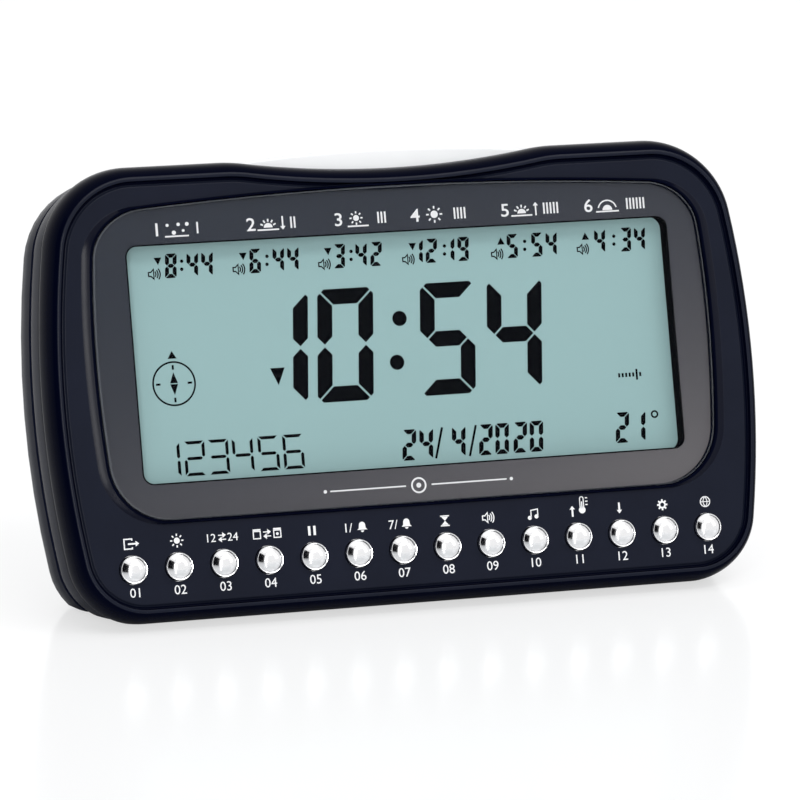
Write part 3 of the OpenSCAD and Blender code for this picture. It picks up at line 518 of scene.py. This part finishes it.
# Closed rod that runs into the clock from depth d0 to d1
def rodAt(bm, x, v, d0, d1, radius):
    made = bmesh.ops.create_cone(bm, cap_ends=True, segments=48, radius1=radius, radius2=radius,
                                 depth=d1 - d0)["verts"]
    bmesh.ops.rotate(bm, verts=made, matrix=Matrix.Rotation(math.radians(-90), 3, "X"))
    bmesh.ops.translate(bm, verts=made, vec=(x, (d0 + d1) / 2, v))


def boxAt(bm, x0, x1, d0, d1, v0, v1):
    made = bmesh.ops.create_cube(bm, size=1)["verts"]
    bmesh.ops.scale(bm, verts=made, vec=(x1 - x0, d1 - d0, v1 - v0))
    bmesh.ops.translate(bm, verts=made, vec=((x0 + x1) / 2, (d0 + d1) / 2, (v0 + v1) / 2))


# Spins pairs of radius and depth about a line into the clock
def turnedAt(bm, x, v, profile):
    verts = [bm.verts.new((x + r, d, v)) for r, d in profile]
    edges = [bm.edges.new(pair) for pair in zip(verts, verts[1:])]
    bmesh.ops.spin(bm, geom=verts + edges, cent=(x, 0, v), axis=(0, 1, 0), angle=math.tau, steps=64,
                   use_merge=True, use_duplicate=False)
    bmesh.ops.remove_doubles(bm, verts=bm.verts, dist=0.0005)


inkThick = 0.03


# Gives flat faces the thickness of ink, towards the front
def thicken(bm, faces):
    grown = bmesh.ops.extrude_face_region(bm, geom=faces)["geom"]
    moved = [g for g in grown if isinstance(g, bmesh.types.BMVert)]
    bmesh.ops.translate(bm, verts=moved, vec=(0, -inkThick, 0))


# Thin closed plate from a flat outline
def plateAt(bm, outline, depth):
    thicken(bm, [bm.faces.new([bm.verts.new((x, depth, v)) for x, v in outline])])


moulding = {
    "frontDepth": 20.5, "wall": 2.2, "soleDrop": 13.8, "barGap": 0.2,
    "rollWidth": 2.9, "rollDepth": 7.6, "rollSteps": 16, "rollShadeRings": 13,
    "beadHeight": 0.9, "beadDrop": 0.95, "dropFrom": 10, "dropReach": 70,
    "lensProud": 0.85, "lensThick": 1.6, "lensGap": 0.15, "lensRim": 0.7,
    "maskThick": 0.2, "maskInset": 0.42, "windowWall": 0.5, "windowShadowLine": 0.35, "windowShift": 0.42,
    "lcdDepth": 5.1, "lcdGap": 0.05, "windowLedge": 2.1,
    "innerInset": 4.6, "innerCorner": 6.5, "innerRise": 1.6,
    "buttonHole": 3.45, "buttonPitch": 11, "buttons": 14, "cutReach": 2, "notchLow": 80, "notchHigh": 110,
}
# Rings as inset, depth and tone; the first five count their depth from the parting line. Tones: 0 the face,
# the bead's crest and the step's edge, 1 the roll, the grooves and the lens's seat in a near-black navy that
# is painted shade,
# 2 the side band, 3 the window wall in black that is painted shade, 4 the slope up to the lens in a darker
# navy that is painted shade
partingRings = [(1.5, 0, 1), (1.15, -0.35, 1), (0.9, -1.2, 2), (0.72, -2.6, 2), (0.61, -4, 2)]
sideRings = [(0.6, 14, 2), (0.6, 11.6, 1), (0.64, 10.4, 1), (0.72, 9.6, 1), (0.85, 9.1, 1), (1.05, 8.72, 1),
             (1.1, 8.5, 1), (1, 8.4, 1), (0.45, 8.32, 0), (0.28, 8.2, 0), (0.1, 8, 0)]
grooveRings = [(0.34, 0.1, 1), (0.45, 0.33, 1), (0.65, 0.43, 1), (0.95, 0.42, 0), (1.2, 0.3, 0),
               (1.4, 0.08, 0), (1.55, 0, 0), (1.85, 0, 0)]


def buttonX(i):
    return (i - (moulding["buttons"] - 1) / 2) * moulding["buttonPitch"]


# Cuts off what lies under the level sole and closes the cut
def trimAtSole(bm):
    normal = faceTurn.to_3x3().inverted() @ Vector((0, 0, 1))
    point = normal * -moulding["soleDrop"]
    bmesh.ops.bisect_plane(bm, geom=bm.verts[:] + bm.edges[:] + bm.faces[:], plane_co=point, plane_no=normal,
                           clear_inner=True)
    rims = [e for e in bm.edges if e.is_boundary]
    bmesh.ops.holes_fill(bm, edges=rims, sides=0)


def buildFrontCase():
    m = moulding
    roll, bead, deep = m["rollWidth"], m["beadHeight"], m["rollDepth"]
    parting, wall, proud, lcd = m["frontDepth"], m["wall"], m["lensProud"], m["lcdDepth"] - m["lcdGap"]
    seat = m["lensThick"] - proud + m["maskThick"]
    rings, tones = [], []

    # One ring of the loft. Its tone goes to the strip from it to the next, and its drop is full at the top
    def ring(outline, depth, tone=0, drop=0):
        start, reach = m["dropFrom"], m["dropReach"]
        rings.append(([(x, v - drop * min(1, max(0, (v - start) / reach))) for x, v in outline], depth))
        tones.append(tone)

    for inset, depth, tone in partingRings:
        ring(caseOutline(inset), parting + depth, tone)
    for inset, depth, tone in sideRings:
        ring(caseOutline(inset), depth, tone)
    # The roll, up to the bead's crest; all but its last rings take the near-black navy, painted shade
    for i in range(m["rollSteps"]):
        a = math.radians(90 - 90 * i / (m["rollSteps"] - 1))
        inset = roll * (1 - math.sin(a))
        ring(caseOutline(inset), deep - (deep + bead) * math.cos(a), int(i < m["rollShadeRings"]),
             m["beadDrop"] * inset / roll)
    beadRings = [(0.1, 0.03 - bead, 0), (0.2, 0.12 - bead, 1), (0.28, -bead * 0.5, 1)]
    for inset, depth, tone in beadRings + grooveRings:
        ring(caseOutline(roll + inset), depth, tone, m["beadDrop"])
    # The slope up to the lens and its rim, as growth at the sides and at the ends. The slope takes a darker
    # navy and the rim the near-black navy, both painted shade
    rim = m["lensRim"]
    for side, end, depth, tone in ((3.2, 1, 0, 0), (2.9, 0.9, 0, 0), (2.7, 0.86, -0.04, 4),
                                   (1.2, 0.74, -proud * 0.72, 4), (0.95, rim, 0.13 - proud, 1),
                                   (0.75, rim - 0.05, 0.06 - proud, 1), (0.5, 0.45, 0.06 - proud, 1),
                                   (0.35, 0.3, 0.16 - proud, 1)):
        ring(lensOutline(0, side, end), depth, tone)
    # The lens seat, the window and the inside; the seat's walls carry the near-black navy and the window's
    # wall the black, both painted shade
    pocket, inner = lensOutline(-m["lensGap"]), caseOutline(m["innerInset"])
    window, ledge = windowOutline(m["windowWall"]), windowOutline(m["windowLedge"])
    for outline, depth, tone in ((pocket, 0, 1), (pocket, seat, 1), (window, seat, 3), (window, lcd, 0),
                                 (ledge, lcd, 0), (ledge, wall, 0), (caseOutline(m["innerCorner"]), wall, 0),
                                 (inner, wall + m["innerRise"], 0), (inner, parting, 0)):
        ring(outline, depth, tone)
    bm, _ = loftRings(rings, close=True, tones=tones)
    bmesh.ops.recalc_face_normals(bm, faces=bm.faces)
    trimAtSole(bm)
    cutter = bmesh.new()
    for i in range(m["buttons"]):
        rodAt(cutter, buttonX(i), 0, -m["cutReach"], m["wall"] + m["cutReach"], m["buttonHole"])
    b, gap = barSize, m["barGap"]
    reach = b["halfLength"] + gap
    boxAt(cutter, -reach, reach, b["front"] - gap, b["back"] + gap, m["notchLow"], m["notchHigh"])
    bm = cutWith(bm, cutter)
    addPiece("front_housing", bm, housingTones, replaces=["front_case"])


barSize = {"halfLength": 39, "low": 87, "top": 96.5, "arch": 380, "archFrom": 90, "front": 9.6, "back": 27.6,
           "corner": 3, "edge": 0.8, "slices": 40}
buildFrontCase()
print("front case done")


# Keeps a CAD node's mesh and gives it a finish, with its triangles welded and its round faces smooth
def smoothNode(name, material, angle=32):
    node = frame["nodes"][name]
    node.data.materials.clear()
    node.data.materials.append(finish[material])
    node.data.shade_smooth()
    weld = node.modifiers.new("weld", "WELD")
    weld.merge_threshold = 0.000004
    split = node.modifiers.new("split", "EDGE_SPLIT")
    split.split_angle = math.radians(angle)


nodeFinish = {
    "rear_case": "sideGloss", "lcd_panel": "lcdGlass", "lcd_frame": "whitePlastic",
    "backlight_diffuser": "diffuser", "zebra_strips": "silicone", "main_board": "greenBoard",
    "board_parts": "blackPart", "snooze_switch": "blackPart", "temperature_sensor": "blackPart",
    "keypad_board": "tanBoard", "keypad_mat": "silicone", "ribbon_cable": "ribbonGrey",
    "board_screws": "zincSteel", "keypad_screws": "zincSteel", "case_screws": "zincSteel",
    "snooze_springs": "nickel", "speaker_frame": "speakerSteel", "speaker_cone": "conePaper",
    "speaker_clamp": "blackPart", "speaker_screws": "zincSteel", "battery_cells": "cellJacket",
    "battery_springs": "nickel", "battery_plates": "nickel", "battery_door": "sideGloss",
    "rubber_feet": "footRubber",
}
for nodeName, material in nodeFinish.items():
    smoothNode(nodeName, material)
print("carried nodes finished:", len(nodeFinish))


def buildBar():
    b = barSize
    bm = bmesh.new()
    boxAt(bm, -b["halfLength"], b["halfLength"], b["front"], b["back"], b["low"], b["top"])
    upright = [e for e in bm.edges if abs(e.verts[0].co.z - e.verts[1].co.z) > 1]
    bmesh.ops.bevel(bm, geom=upright, offset=b["corner"], offset_type="OFFSET", segments=8, profile=0.5,
                    affect="EDGES", material=-1)
    top = [f for f in bm.faces if f.normal.z > 0.9]
    bmesh.ops.bevel(bm, geom=list({e for f in top for e in f.edges}), offset=b["edge"], offset_type="OFFSET",
                    segments=5, profile=0.5, affect="EDGES", material=-1)
    for i in range(1, b["slices"]):
        x = -b["halfLength"] + 2 * b["halfLength"] * i / b["slices"]
        bmesh.ops.bisect_plane(bm, geom=bm.verts[:] + bm.edges[:] + bm.faces[:], plane_co=(x, 0, 0),
                               plane_no=(1, 0, 0))
    for vert in bm.verts:
        if vert.co.z > b["archFrom"]:
            vert.co.z -= vert.co.x ** 2 / (2 * b["arch"])
    addPiece("snooze_cap", bm, ["paleBar"], body="snooze_bar", replaces=["snooze_bar"],
             sharp=40)


buildBar()
print("snooze bar done")


buttonSize = {"radius": 3.25, "rim": 0.26, "rimDepth": -1.15, "crown": -2.5, "domeSteps": 14,
              "flange": 4.2, "flangeFront": 2.3, "flangeBack": 3.1, "stem": 1.6, "foot": 4.9}


def buildButtons():
    s = buttonSize
    r, low = s["radius"], s["rimDepth"]
    edge = r - s["rim"]
    rise = low - s["crown"]
    ball = (edge ** 2 + rise ** 2) / (2 * rise)
    profile = []
    for k in range(s["domeSteps"] + 1):
        x = edge * k / s["domeSteps"]
        profile.append((x, ball + s["crown"] - math.sqrt(ball ** 2 - x ** 2)))
    # The rolled edge, then the skirt, the flange and the stem
    profile += [(edge + 0.05, low - 0.02), (edge + 0.13, low - 0.05), (r - 0.14, low - 0.03),
                (r - 0.05, low + 0.03), (r, low + 0.15), (r, s["flangeFront"]),
                (s["flange"], s["flangeFront"]), (s["flange"], s["flangeBack"]),
                (s["stem"], s["flangeBack"]), (s["stem"], s["foot"]), (0, s["foot"])]
    for i in range(moulding["buttons"]):
        bm = bmesh.new()
        turnedAt(bm, buttonX(i), 0, profile)
        name = "button_%02d" % (i + 1)
        addPiece("cap_%02d" % (i + 1), bm, ["chrome"], body=name, replaces=[name],
                 sharp=50)


buildButtons()
print("buttons done")


def buildLens():
    m = moulding
    front, back = -m["lensProud"], m["lensThick"] - m["lensProud"]
    bm, first = loftRings([(lensOutline(0), back)]
                          + [(lensOutline(inset), front + depth) for inset, depth in lensSize["bevel"]])
    bm.faces.new(sorted(first, key=lambda v: v.index))
    rim = [e for e in bm.edges if e.is_boundary]
    bmesh.ops.holes_fill(bm, edges=rim, sides=0)
    # Edge faces take a pale grey, a painted highlight along the lens's edge
    for face in bm.faces:
        face.material_index = 0 if len(face.verts) > 4 else 1
    addPiece("clear_lens", bm, ["clearLens", "lensEdgeHighlight"], replaces=["display_lens"])
    # The print stays clear of the lens, and its tone 1 is a black line round the window, painted shadow at
    # the window's edge
    seat, near = back + m["maskThick"], back + lensSize["printGap"]
    outer = lensOutline(m["maskInset"])
    line, edge = ([(x + m["windowShift"], v) for x, v in windowOutline(grow)]
                  for grow in (m["windowShadowLine"], 0))
    bm, _ = loftRings([(outer, seat), (outer, near), (line, near), (edge, near), (edge, seat)], close=True,
                      tones=[0, 0, 1, 1])
    addPiece("printed_mask", bm, ["greyPrint", "inkAndPaintedShade"], replaces=["lens_mask"])


buildLens()
print("lens done")


mitreLimit = 0.45


# Line of even width through the points, with mitred corners
def bandAt(bm, points, width, depth, closed=False):
    count = len(points)
    left, right = [], []
    for i in range(count):
        here = Vector(points[i])
        before = Vector(points[i - 1]) if i or closed else None
        after = Vector(points[(i + 1) % count]) if i < count - 1 or closed else None
        way = (here - before).normalized() if before else Vector((0, 0))
        way += (after - here).normalized() if after else Vector((0, 0))
        way.normalize()
        side = Vector((-way.y, way.x))
        if before and after:
            step = (after - here).normalized()
            side /= max(mitreLimit, abs(side.x * -step.y + side.y * step.x))
        left.append(here + side * width / 2)
        right.append(here - side * width / 2)
    if not closed:
        plateAt(bm, [tuple(p) for p in left + right[::-1]], depth)
        return
    loops = []
    for side in (left, right):
        verts = [bm.verts.new((p.x, depth, p.y)) for p in side]
        loops += [bm.edges.new((verts[i - 1], verts[i])) for i in range(count)]
    thicken(bm, bmesh.ops.bridge_loops(bm, edges=loops)["faces"])


def discAt(bm, x, v, radius, depth, segments=28):
    turns = [math.tau * i / segments for i in range(segments)]
    plateAt(bm, [(x + radius * math.cos(turn), v + radius * math.sin(turn)) for turn in turns], depth)


# Ring, or an arc of one from start over sweep degrees
def ringAt(bm, x, v, radius, width, depth, start=0, sweep=360, segments=36):
    whole = sweep >= 360
    steps = max(4, int(segments * sweep / 360))
    points = arcPoints((x, v), radius, start, start + sweep, steps)
    bandAt(bm, points[:-1] if whole else points, width, depth, closed=whole)


def barAt(bm, x0, v0, x1, v1, width, depth):
    bandAt(bm, [(x0, v0), (x1, v1)], width, depth)


# Bars that run out from x and v, one for each angle
def raysAt(bm, x, v, angles, inner, outer, width, depth):
    for angle in angles:
        across, up = math.cos(math.radians(angle)), math.sin(math.radians(angle))
        barAt(bm, x + inner * across, v + inner * up, x + outer * across, v + outer * up, width, depth)


capShare = 0.69   # height of the font's capitals and figures over its size


# Plain numerals in the built-in font, centred at x and v
def wordAt(bm, text, x, v, height, depth, stretch=1, weight=0):
    curve = bpy.data.curves.new("word", "FONT")
    curve.body = text
    curve.align_x = "CENTER"
    curve.align_y = "CENTER"
    curve.size = height / capShare
    curve.offset = weight
    curve.resolution_u = 3
    thing = bpy.data.objects.new("word", curve)
    bpy.context.scene.collection.objects.link(thing)
    bpy.context.view_layer.update()
    mesh = bpy.data.meshes.new_from_object(thing.evaluated_get(bpy.context.evaluated_depsgraph_get()))
    bpy.data.objects.remove(thing)
    flat = bmesh.new()
    flat.from_mesh(mesh)
    low = min(p.co.y for p in flat.verts)
    high = max(p.co.y for p in flat.verts)
    left = min(p.co.x for p in flat.verts)
    right = max(p.co.x for p in flat.verts)
    for vert in flat.verts:
        vert.co = (x + (vert.co.x - (left + right) / 2) * stretch, depth, v + vert.co.y - (low + high) / 2)
    thicken(flat, flat.faces[:])
    flat.to_mesh(mesh)
    flat.free()
    bm.from_mesh(mesh)
    bpy.data.meshes.remove(mesh)


segmentsOf = {"0": "abcdef", "1": "bc", "2": "abged", "3": "abgcd", "4": "fgbc", "5": "afgcd", "6": "afgedc",
              "7": "abc", "8": "abcdefg", "9": "abcdfg"}


# Outlines of the seven segments of one digit, about its centre, before its slant
def segmentOutlines(style):
    w, h, t, c, q = (style[k] for k in ("halfWidth", "halfHeight", "stroke", "corner", "gap"))
    a = [((c + q) / 2, (c - q) / 2), (c, 0), (2 * w - c, 0), (2 * w - (c + q) / 2, (c - q) / 2),
         (2 * w - t - q, t), (t + q, t)]
    f = [((c - q) / 2, (c + q) / 2), (0, c), (0, h - q - t / 2), (t / 2, h - q), (t, h - q - t / 2),
         (t, t + q)]
    g = [(t / 2 + q, h), (t + q, h - t / 2), (2 * w - t - q, h - t / 2), (2 * w - t / 2 - q, h),
         (2 * w - t - q, h + t / 2), (t + q, h + t / 2)]
    flipX = lambda points: [(2 * w - x, y) for x, y in points]
    flipY = lambda points: [(x, 2 * h - y) for x, y in points]
    table = {"a": a, "f": f, "g": g, "b": flipX(f), "e": flipY(f), "c": flipX(flipY(f)), "d": flipY(a)}
    return {key: [(x - w, h - y) for x, y in points] for key, points in table.items()}


digitStyles = {
    "big": {"halfWidth": 6.95, "halfHeight": 13.42, "slant": 4.5, "stroke": 3.7, "corner": 1.55, "gap": 0.3},
    "small": {"halfWidth": 1.42, "halfHeight": 2.88, "slant": 4.5, "stroke": 0.98, "corner": 0.4, "gap": 0.1},
    "middle": {"halfWidth": 1.72, "halfHeight": 3.68, "slant": 4.5, "stroke": 1.12, "corner": 0.5,
               "gap": 0.14},
    "thin": {"halfWidth": 2.55, "halfHeight": 4.1, "slant": 0, "stroke": 0.74, "corner": 0.24, "gap": 0.24},
}
display = {
    "depth": 5.1,
    "big": [("1", -30.2), ("0", -13.95), ("5", 11.65), ("4", 28.5)],
    "bigV": 49.65,
    "dots": [(0, 55.1, 1.8), (-1.5, 44.7, 1.8)],
    "times": [[("8", -55.2), ("4", -49.95), ("4", -46.35)],
              [("6", -34.5), ("4", -28.8), ("4", -25.2)],
              [("3", -13.7), ("4", -8.25), ("2", -4.5)],
              [("1", 5.8), ("2", 9.35), ("1", 13.75), ("9", 17.35)],
              [("5", 29.8), ("5", 36.05), ("4", 39.7)],
              [("4", 52.1), ("3", 58.75), ("4", 62.35)]],
    "colons": [-52.55, -31.6, -10.75, 12.65, 32.95, 55.75],
    "colonLean": 0.07, "colonRise": 0.95, "colonDot": 0.42,
    "timeV": 70.8,
    "marks": [-58.3, -37.4, -16.4, 4.7, 27, 48.5],
    "waves": [-59.2, -38.5, -17.35, 3.6, 26, 47.8],
    "date": [("2", -0.15), ("4", 4.1), ("4", 12.25), ("2", 19.1), ("0", 23.2), ("2", 27.8), ("0", 31.9)],
    "slashes": [7.3, 15.8],
    "slashHalf": (1.05, 3.65),
    "dateV": 24.85,
    "warmth": [("2", 53.9), ("1", 58.1)],
    "warmthV": 25.5,
    "degree": 62.4,
    "place": [("1", -59.2), ("2", -53.1), ("3", -47.3), ("4", -41.3), ("5", -35), ("6", -28.9)],
    "placeV": 25.2,
    "compass": (-56.7, 43.05, 5.1),
    "halfMark": (-31.2, 43.3),
    "week": (56.9, 38.1), "weekDays": 7, "weekStep": 0.9, "today": 5,
}


def digitsAt(bm, digits, v, styleName):
    style = digitStyles[styleName]
    outlines = segmentOutlines(style)
    slope = math.tan(math.radians(style["slant"]))
    for digit, x in digits:
        for key in segmentsOf[digit]:
            plateAt(bm, [(x + px + py * slope, v + py) for px, py in outlines[key]], display["depth"])


# Loudspeaker with its sound lines
def waveAt(bm, x, v, depth, size=1, width=0.2):
    horn = [(-1.5, -0.45), (-0.95, -0.45), (-0.3, -1.1), (-0.3, 1.1), (-0.95, 0.45), (-1.5, 0.45)]
    bandAt(bm, [(x + px * size, v + py * size) for px, py in horn], width, depth, closed=True)
    for k in range(3):
        ringAt(bm, x - 0.75 * size, v, (0.95 + 0.5 * k) * size, width, depth, -38, 76, 60)


def buildDisplay():
    d = display
    deep = d["depth"]
    bm = bmesh.new()
    digitsAt(bm, d["big"], d["bigV"], "big")
    for x, v, radius in d["dots"]:
        discAt(bm, x, v, radius, deep, 48)
    for time, colon, mark, wave in zip(d["times"], d["colons"], d["marks"], d["waves"]):
        digitsAt(bm, time, d["timeV"], "small")
        for side in (1, -1):
            discAt(bm, colon + d["colonLean"] * side, d["timeV"] + d["colonRise"] * side, d["colonDot"], deep)
        # Its half-day mark points up for the last two times
        up = 1 if colon > 20 else -1
        middle = d["timeV"] + 1.3
        foot = middle - 0.8 * up
        plateAt(bm, [(mark - 0.95, foot), (mark + 0.95, foot), (mark, middle + 0.95 * up)], deep)
        waveAt(bm, wave, d["timeV"] - 1.75, deep, 1.05, 0.3)
    digitsAt(bm, d["date"], d["dateV"], "middle")
    across, up = d["slashHalf"]
    for x in d["slashes"]:
        barAt(bm, x - across, d["dateV"] - up, x + across, d["dateV"] + up, 0.55, deep)
    digitsAt(bm, d["warmth"], d["warmthV"], "middle")
    ringAt(bm, d["degree"], d["warmthV"] + 2.7, 0.75, 0.42, deep)
    digitsAt(bm, d["place"], d["placeV"], "thin")
    x, v, radius = d["compass"]
    ringAt(bm, x, v, radius, 0.42, deep, segments=72)
    raysAt(bm, x, v, range(0, 360, 90), 3.3, 4.4, 0.5, deep)
    for side in (1, -1):
        plateAt(bm, [(x, v + 2.7 * side), (x - 0.95, v + 0.12 * side), (x + 0.95, v + 0.12 * side)], deep)
    plateAt(bm, [(x, v + 7.7), (x - 1.1, v + 5.9), (x + 1.1, v + 5.9)], deep)
    # Half-day mark by the big digits, and seven day marks
    x, v = d["halfMark"]
    plateAt(bm, [(x - 1.8, v + 1.9), (x + 1.8, v + 1.9), (x, v - 2.2)], deep)
    x, v = d["week"]
    for k in range(d["weekDays"]):
        half = 1.3 if k == d["today"] else 0.5
        day = x - 2.7 + d["weekStep"] * k
        barAt(bm, day, v - half, day, v + half, 0.5, deep)
    addPiece("display_ink", bm, ["inkAndPaintedShade"])


buildDisplay()
print("display done")


# Sun with its rays; half of it stands on a horizon line
def sunAt(bm, x, v, depth, size=1, half=False, width=0.3):
    if half:
        base = v - 0.9 * size
        plateAt(bm, arcPoints((x, base), 0.95 * size, 0, 180, 14), depth)
        barAt(bm, x - 2.3 * size, base - 0.45 * size, x + 2.3 * size, base - 0.45 * size, width, depth)
        angles = [25, 57, 90, 123, 155]
    else:
        base = v
        discAt(bm, x, v, 0.8 * size, depth)
        angles = range(0, 360, 45)
    raysAt(bm, x, base, angles, 1.2 * size, 1.8 * size, width, depth)


# Arrow about x and v that points along turn, in degrees
def arrowAt(bm, x, v, depth, turn, length=2.4, width=0.38):
    a = math.radians(turn)
    way, side = Vector((math.cos(a), math.sin(a))), Vector((-math.sin(a), math.cos(a)))
    middle = Vector((x, v))
    tip = middle + way * length / 2
    neck = tip - way * 0.85
    barAt(bm, *(middle - way * length / 2), *(neck + way * 0.03), width, depth)
    plateAt(bm, [tuple(tip), tuple(neck + side * 0.68), tuple(neck - side * 0.68)], depth)


def swapAt(bm, x, v, depth, length=2.2):
    arrowAt(bm, x, v + 0.5, depth, 0, length, 0.24)
    arrowAt(bm, x, v - 0.5, depth, 180, length, 0.24)


def bellAt(bm, x, v, depth, size=1):
    outline = ([(-1.25, -0.75), (-0.85, -0.35)] + arcPoints((0, 0.35), 0.78, 180, 0, 10)
               + [(0.85, -0.35), (1.25, -0.75)])
    plateAt(bm, [(x + px * size, v + py * size) for px, py in outline], depth)
    plateAt(bm, [(x + px * size, v + py * size) for px, py in arcPoints((0, -0.92), 0.4, 180, 360, 8)], depth)


header = {
    "places": [-53.5, -30.5, -8.9, 10.2, 32.8, 54], "v": 79.1, "depth": 0.805, "line": 0.36,
    "numeralAt": -5.6, "numeral": 3, "numeralStretch": 1.1, "numeralWeight": 0.04, "signAt": -0.8,
    "tallyAt": 4.3, "tallyStep": 0.85, "tallyHalf": 1.35, "tallyWidth": 0.42,
    "stars": [(-2.2, 0.9, 0.38), (-0.7, -0.9, 0.5), (0.5, 1, 0.42), (1.6, -0.5, 0.34), (2.6, 1, 0.46)],
    "stripV": 15, "ruleStart": 3.2, "ruleEnd": 22, "ruleDot": 23.2, "ringRadius": 1.7,
}


def buildHeader():
    h = header
    deep, v, line = h["depth"], h["v"], h["line"]
    bm = bmesh.new()
    for i, place in enumerate(h["places"]):
        wordAt(bm, "%d" % (i + 1), place + h["numeralAt"], v, h["numeral"], deep, h["numeralStretch"],
               h["numeralWeight"])
        x = place + h["signAt"]
        if i == 0:
            for px, py, r in h["stars"]:
                discAt(bm, x + px, v + py, r, deep)
            barAt(bm, x - 2.9, v - 1.75, x + 2.9, v - 1.75, line, deep)
        elif i in (1, 4):
            sunAt(bm, x - 0.6, v + 0.1, deep, 1.15, half=True, width=line)
            arrowAt(bm, x + 3, v, deep, 90 if i == 4 else 270, 3.2)
        elif i == 2:
            sunAt(bm, x - 0.4, v + 0.15, deep, 0.9, width=line)
            barAt(bm, x - 2.6, v - 1.75, x + 2.6, v - 1.75, line, deep)
        elif i == 3:
            sunAt(bm, x, v, deep, 1.12, width=0.38)
        else:
            barAt(bm, x - 2.9, v - 1.6, x + 2.9, v - 1.6, line, deep)
            plateAt(bm, arcPoints((x, v - 1.3), 1.25, 0, 180, 14), deep)
            ringAt(bm, x, v - 1.3, 2.35, 0.32, deep, 15, 150)
        for k in range(i + 1):
            x = place + h["tallyAt"] + h["tallyStep"] * k
            barAt(bm, x, v - h["tallyHalf"], x, v + h["tallyHalf"], h["tallyWidth"], deep)
    # Two fine rules and a ring in the strip under the window
    low = h["stripV"]
    for side in (-1, 1):
        barAt(bm, side * h["ruleStart"], low, side * h["ruleEnd"], low, 0.34, deep)
        discAt(bm, side * h["ruleDot"], low, 0.42, deep)
    ringAt(bm, 0, low, h["ringRadius"], 0.42, deep, segments=48)
    discAt(bm, 0, low, 0.6, deep)
    addPiece("lens_prints", bm, ["whitePrint"])


labels = {"depth": 0.01, "numberV": -5.35, "number": 2.15, "numberWeight": 0.004, "signV": 6.1, "word": 2.1,
          "smallWord": 1.9, "pair": 2.5, "fine": 0.26}


def buildLabels():
    deep, v, fine = labels["depth"], labels["signV"], labels["fine"]
    bm = bmesh.new()
    for i in range(moulding["buttons"]):
        x = buttonX(i)
        wordAt(bm, "%02d" % (i + 1), x, labels["numberV"], labels["number"], deep,
               weight=labels["numberWeight"])
        if i == 0:
            bandAt(bm, [(x + 0.2, v + 0.75), (x + 0.2, v + 1.15), (x - 1.7, v + 1.15), (x - 1.7, v - 1.15),
                        (x + 0.2, v - 1.15), (x + 0.2, v - 0.75)], 0.3, deep)
            arrowAt(bm, x + 0.55, v, deep, 0, 2.7)
        elif i == 1:
            sunAt(bm, x, v, deep, 0.9, width=0.32)
        elif i == 2:
            wordAt(bm, "12", x - 2.6, v, labels["smallWord"], deep)
            wordAt(bm, "24", x + 2.6, v, labels["smallWord"], deep)
            swapAt(bm, x, v, deep, 1.9)
        elif i == 3:
            for side in (-1, 1):
                px = x + side * labels["pair"]
                page = [(-0.85, -0.95), (0.85, -0.95), (0.85, 0.75), (-0.85, 0.75)]
                bandAt(bm, [(px + dx, v + dy) for dx, dy in page], fine, deep, closed=True)
                barAt(bm, px - 0.95, v + 1.1, px + 0.95, v + 1.1, 0.34, deep)
            discAt(bm, x + labels["pair"], v - 0.1, 0.34, deep)
            swapAt(bm, x, v, deep, 1.9)
        elif i == 4:
            for side in (-0.65, 0.65):
                barAt(bm, x + side, v - 1.1, x + side, v + 1.1, 0.6, deep)
        elif i in (5, 6):
            wordAt(bm, "1/" if i == 5 else "7/", x - 1.9, v, labels["word"], deep)
            bellAt(bm, x + 1.4, v + 0.1, deep)
        elif i == 7:
            for side in (-1, 1):
                plateAt(bm, [(x, v), (x - 0.85, v + 0.95 * side), (x + 0.85, v + 0.95 * side)], deep)
                barAt(bm, x - 1.1, v + 1.15 * side, x + 1.1, v + 1.15 * side, 0.28, deep)
        elif i == 8:
            waveAt(bm, x, v, deep, 1.05, fine)
        elif i == 9:
            discAt(bm, x - 0.75, v - 0.8, 0.5, deep)
            discAt(bm, x + 0.95, v - 0.55, 0.5, deep)
            stem = [(-0.37, -0.8), (-0.37, 0.95), (1.33, 1.2), (1.33, -0.55)]
            bandAt(bm, [(x + dx, v + dy) for dx, dy in stem], fine, deep)
        elif i == 10:
            arrowAt(bm, x - 0.9, v, deep, 90, 2.6, 0.46)
            discAt(bm, x + 1.6, v + 0.2, 0.85, deep)
            bandAt(bm, arcPoints((x + 1.6, v + 2.9), 0.45, 180, 0, 8)[::-1]
                   + [(x + 1.15, v + 0.9), (x + 2.05, v + 0.9)], 0.24, deep, closed=True)
            barAt(bm, x + 1.6, v + 0.6, x + 1.6, v + 2.2, 0.3, deep)
            for k in range(3):
                barAt(bm, x + 2.5, v + 1.4 + 0.8 * k, x + 3.1, v + 1.4 + 0.8 * k, fine, deep)
        elif i == 11:
            arrowAt(bm, x, v, deep, 270, 2.6, 0.46)
        elif i == 12:
            ringAt(bm, x, v, 0.72, 0.42, deep)
            raysAt(bm, x, v, range(0, 360, 45), 0.9, 1.32, 0.42, deep)
        else:
            ringAt(bm, x, v, 1.2, 0.24, deep)
            barAt(bm, x - 1.2, v, x + 1.2, v, 0.2, deep)
            bandAt(bm, arcPoints((x - 1.1, v), 1.6, -45, 45, 8), 0.2, deep)
            bandAt(bm, arcPoints((x + 1.1, v), 1.6, 135, 225, 8), 0.2, deep)
    addPiece("face_prints", bm, ["whitePrint"])


buildHeader()
buildLabels()
print("prints done")
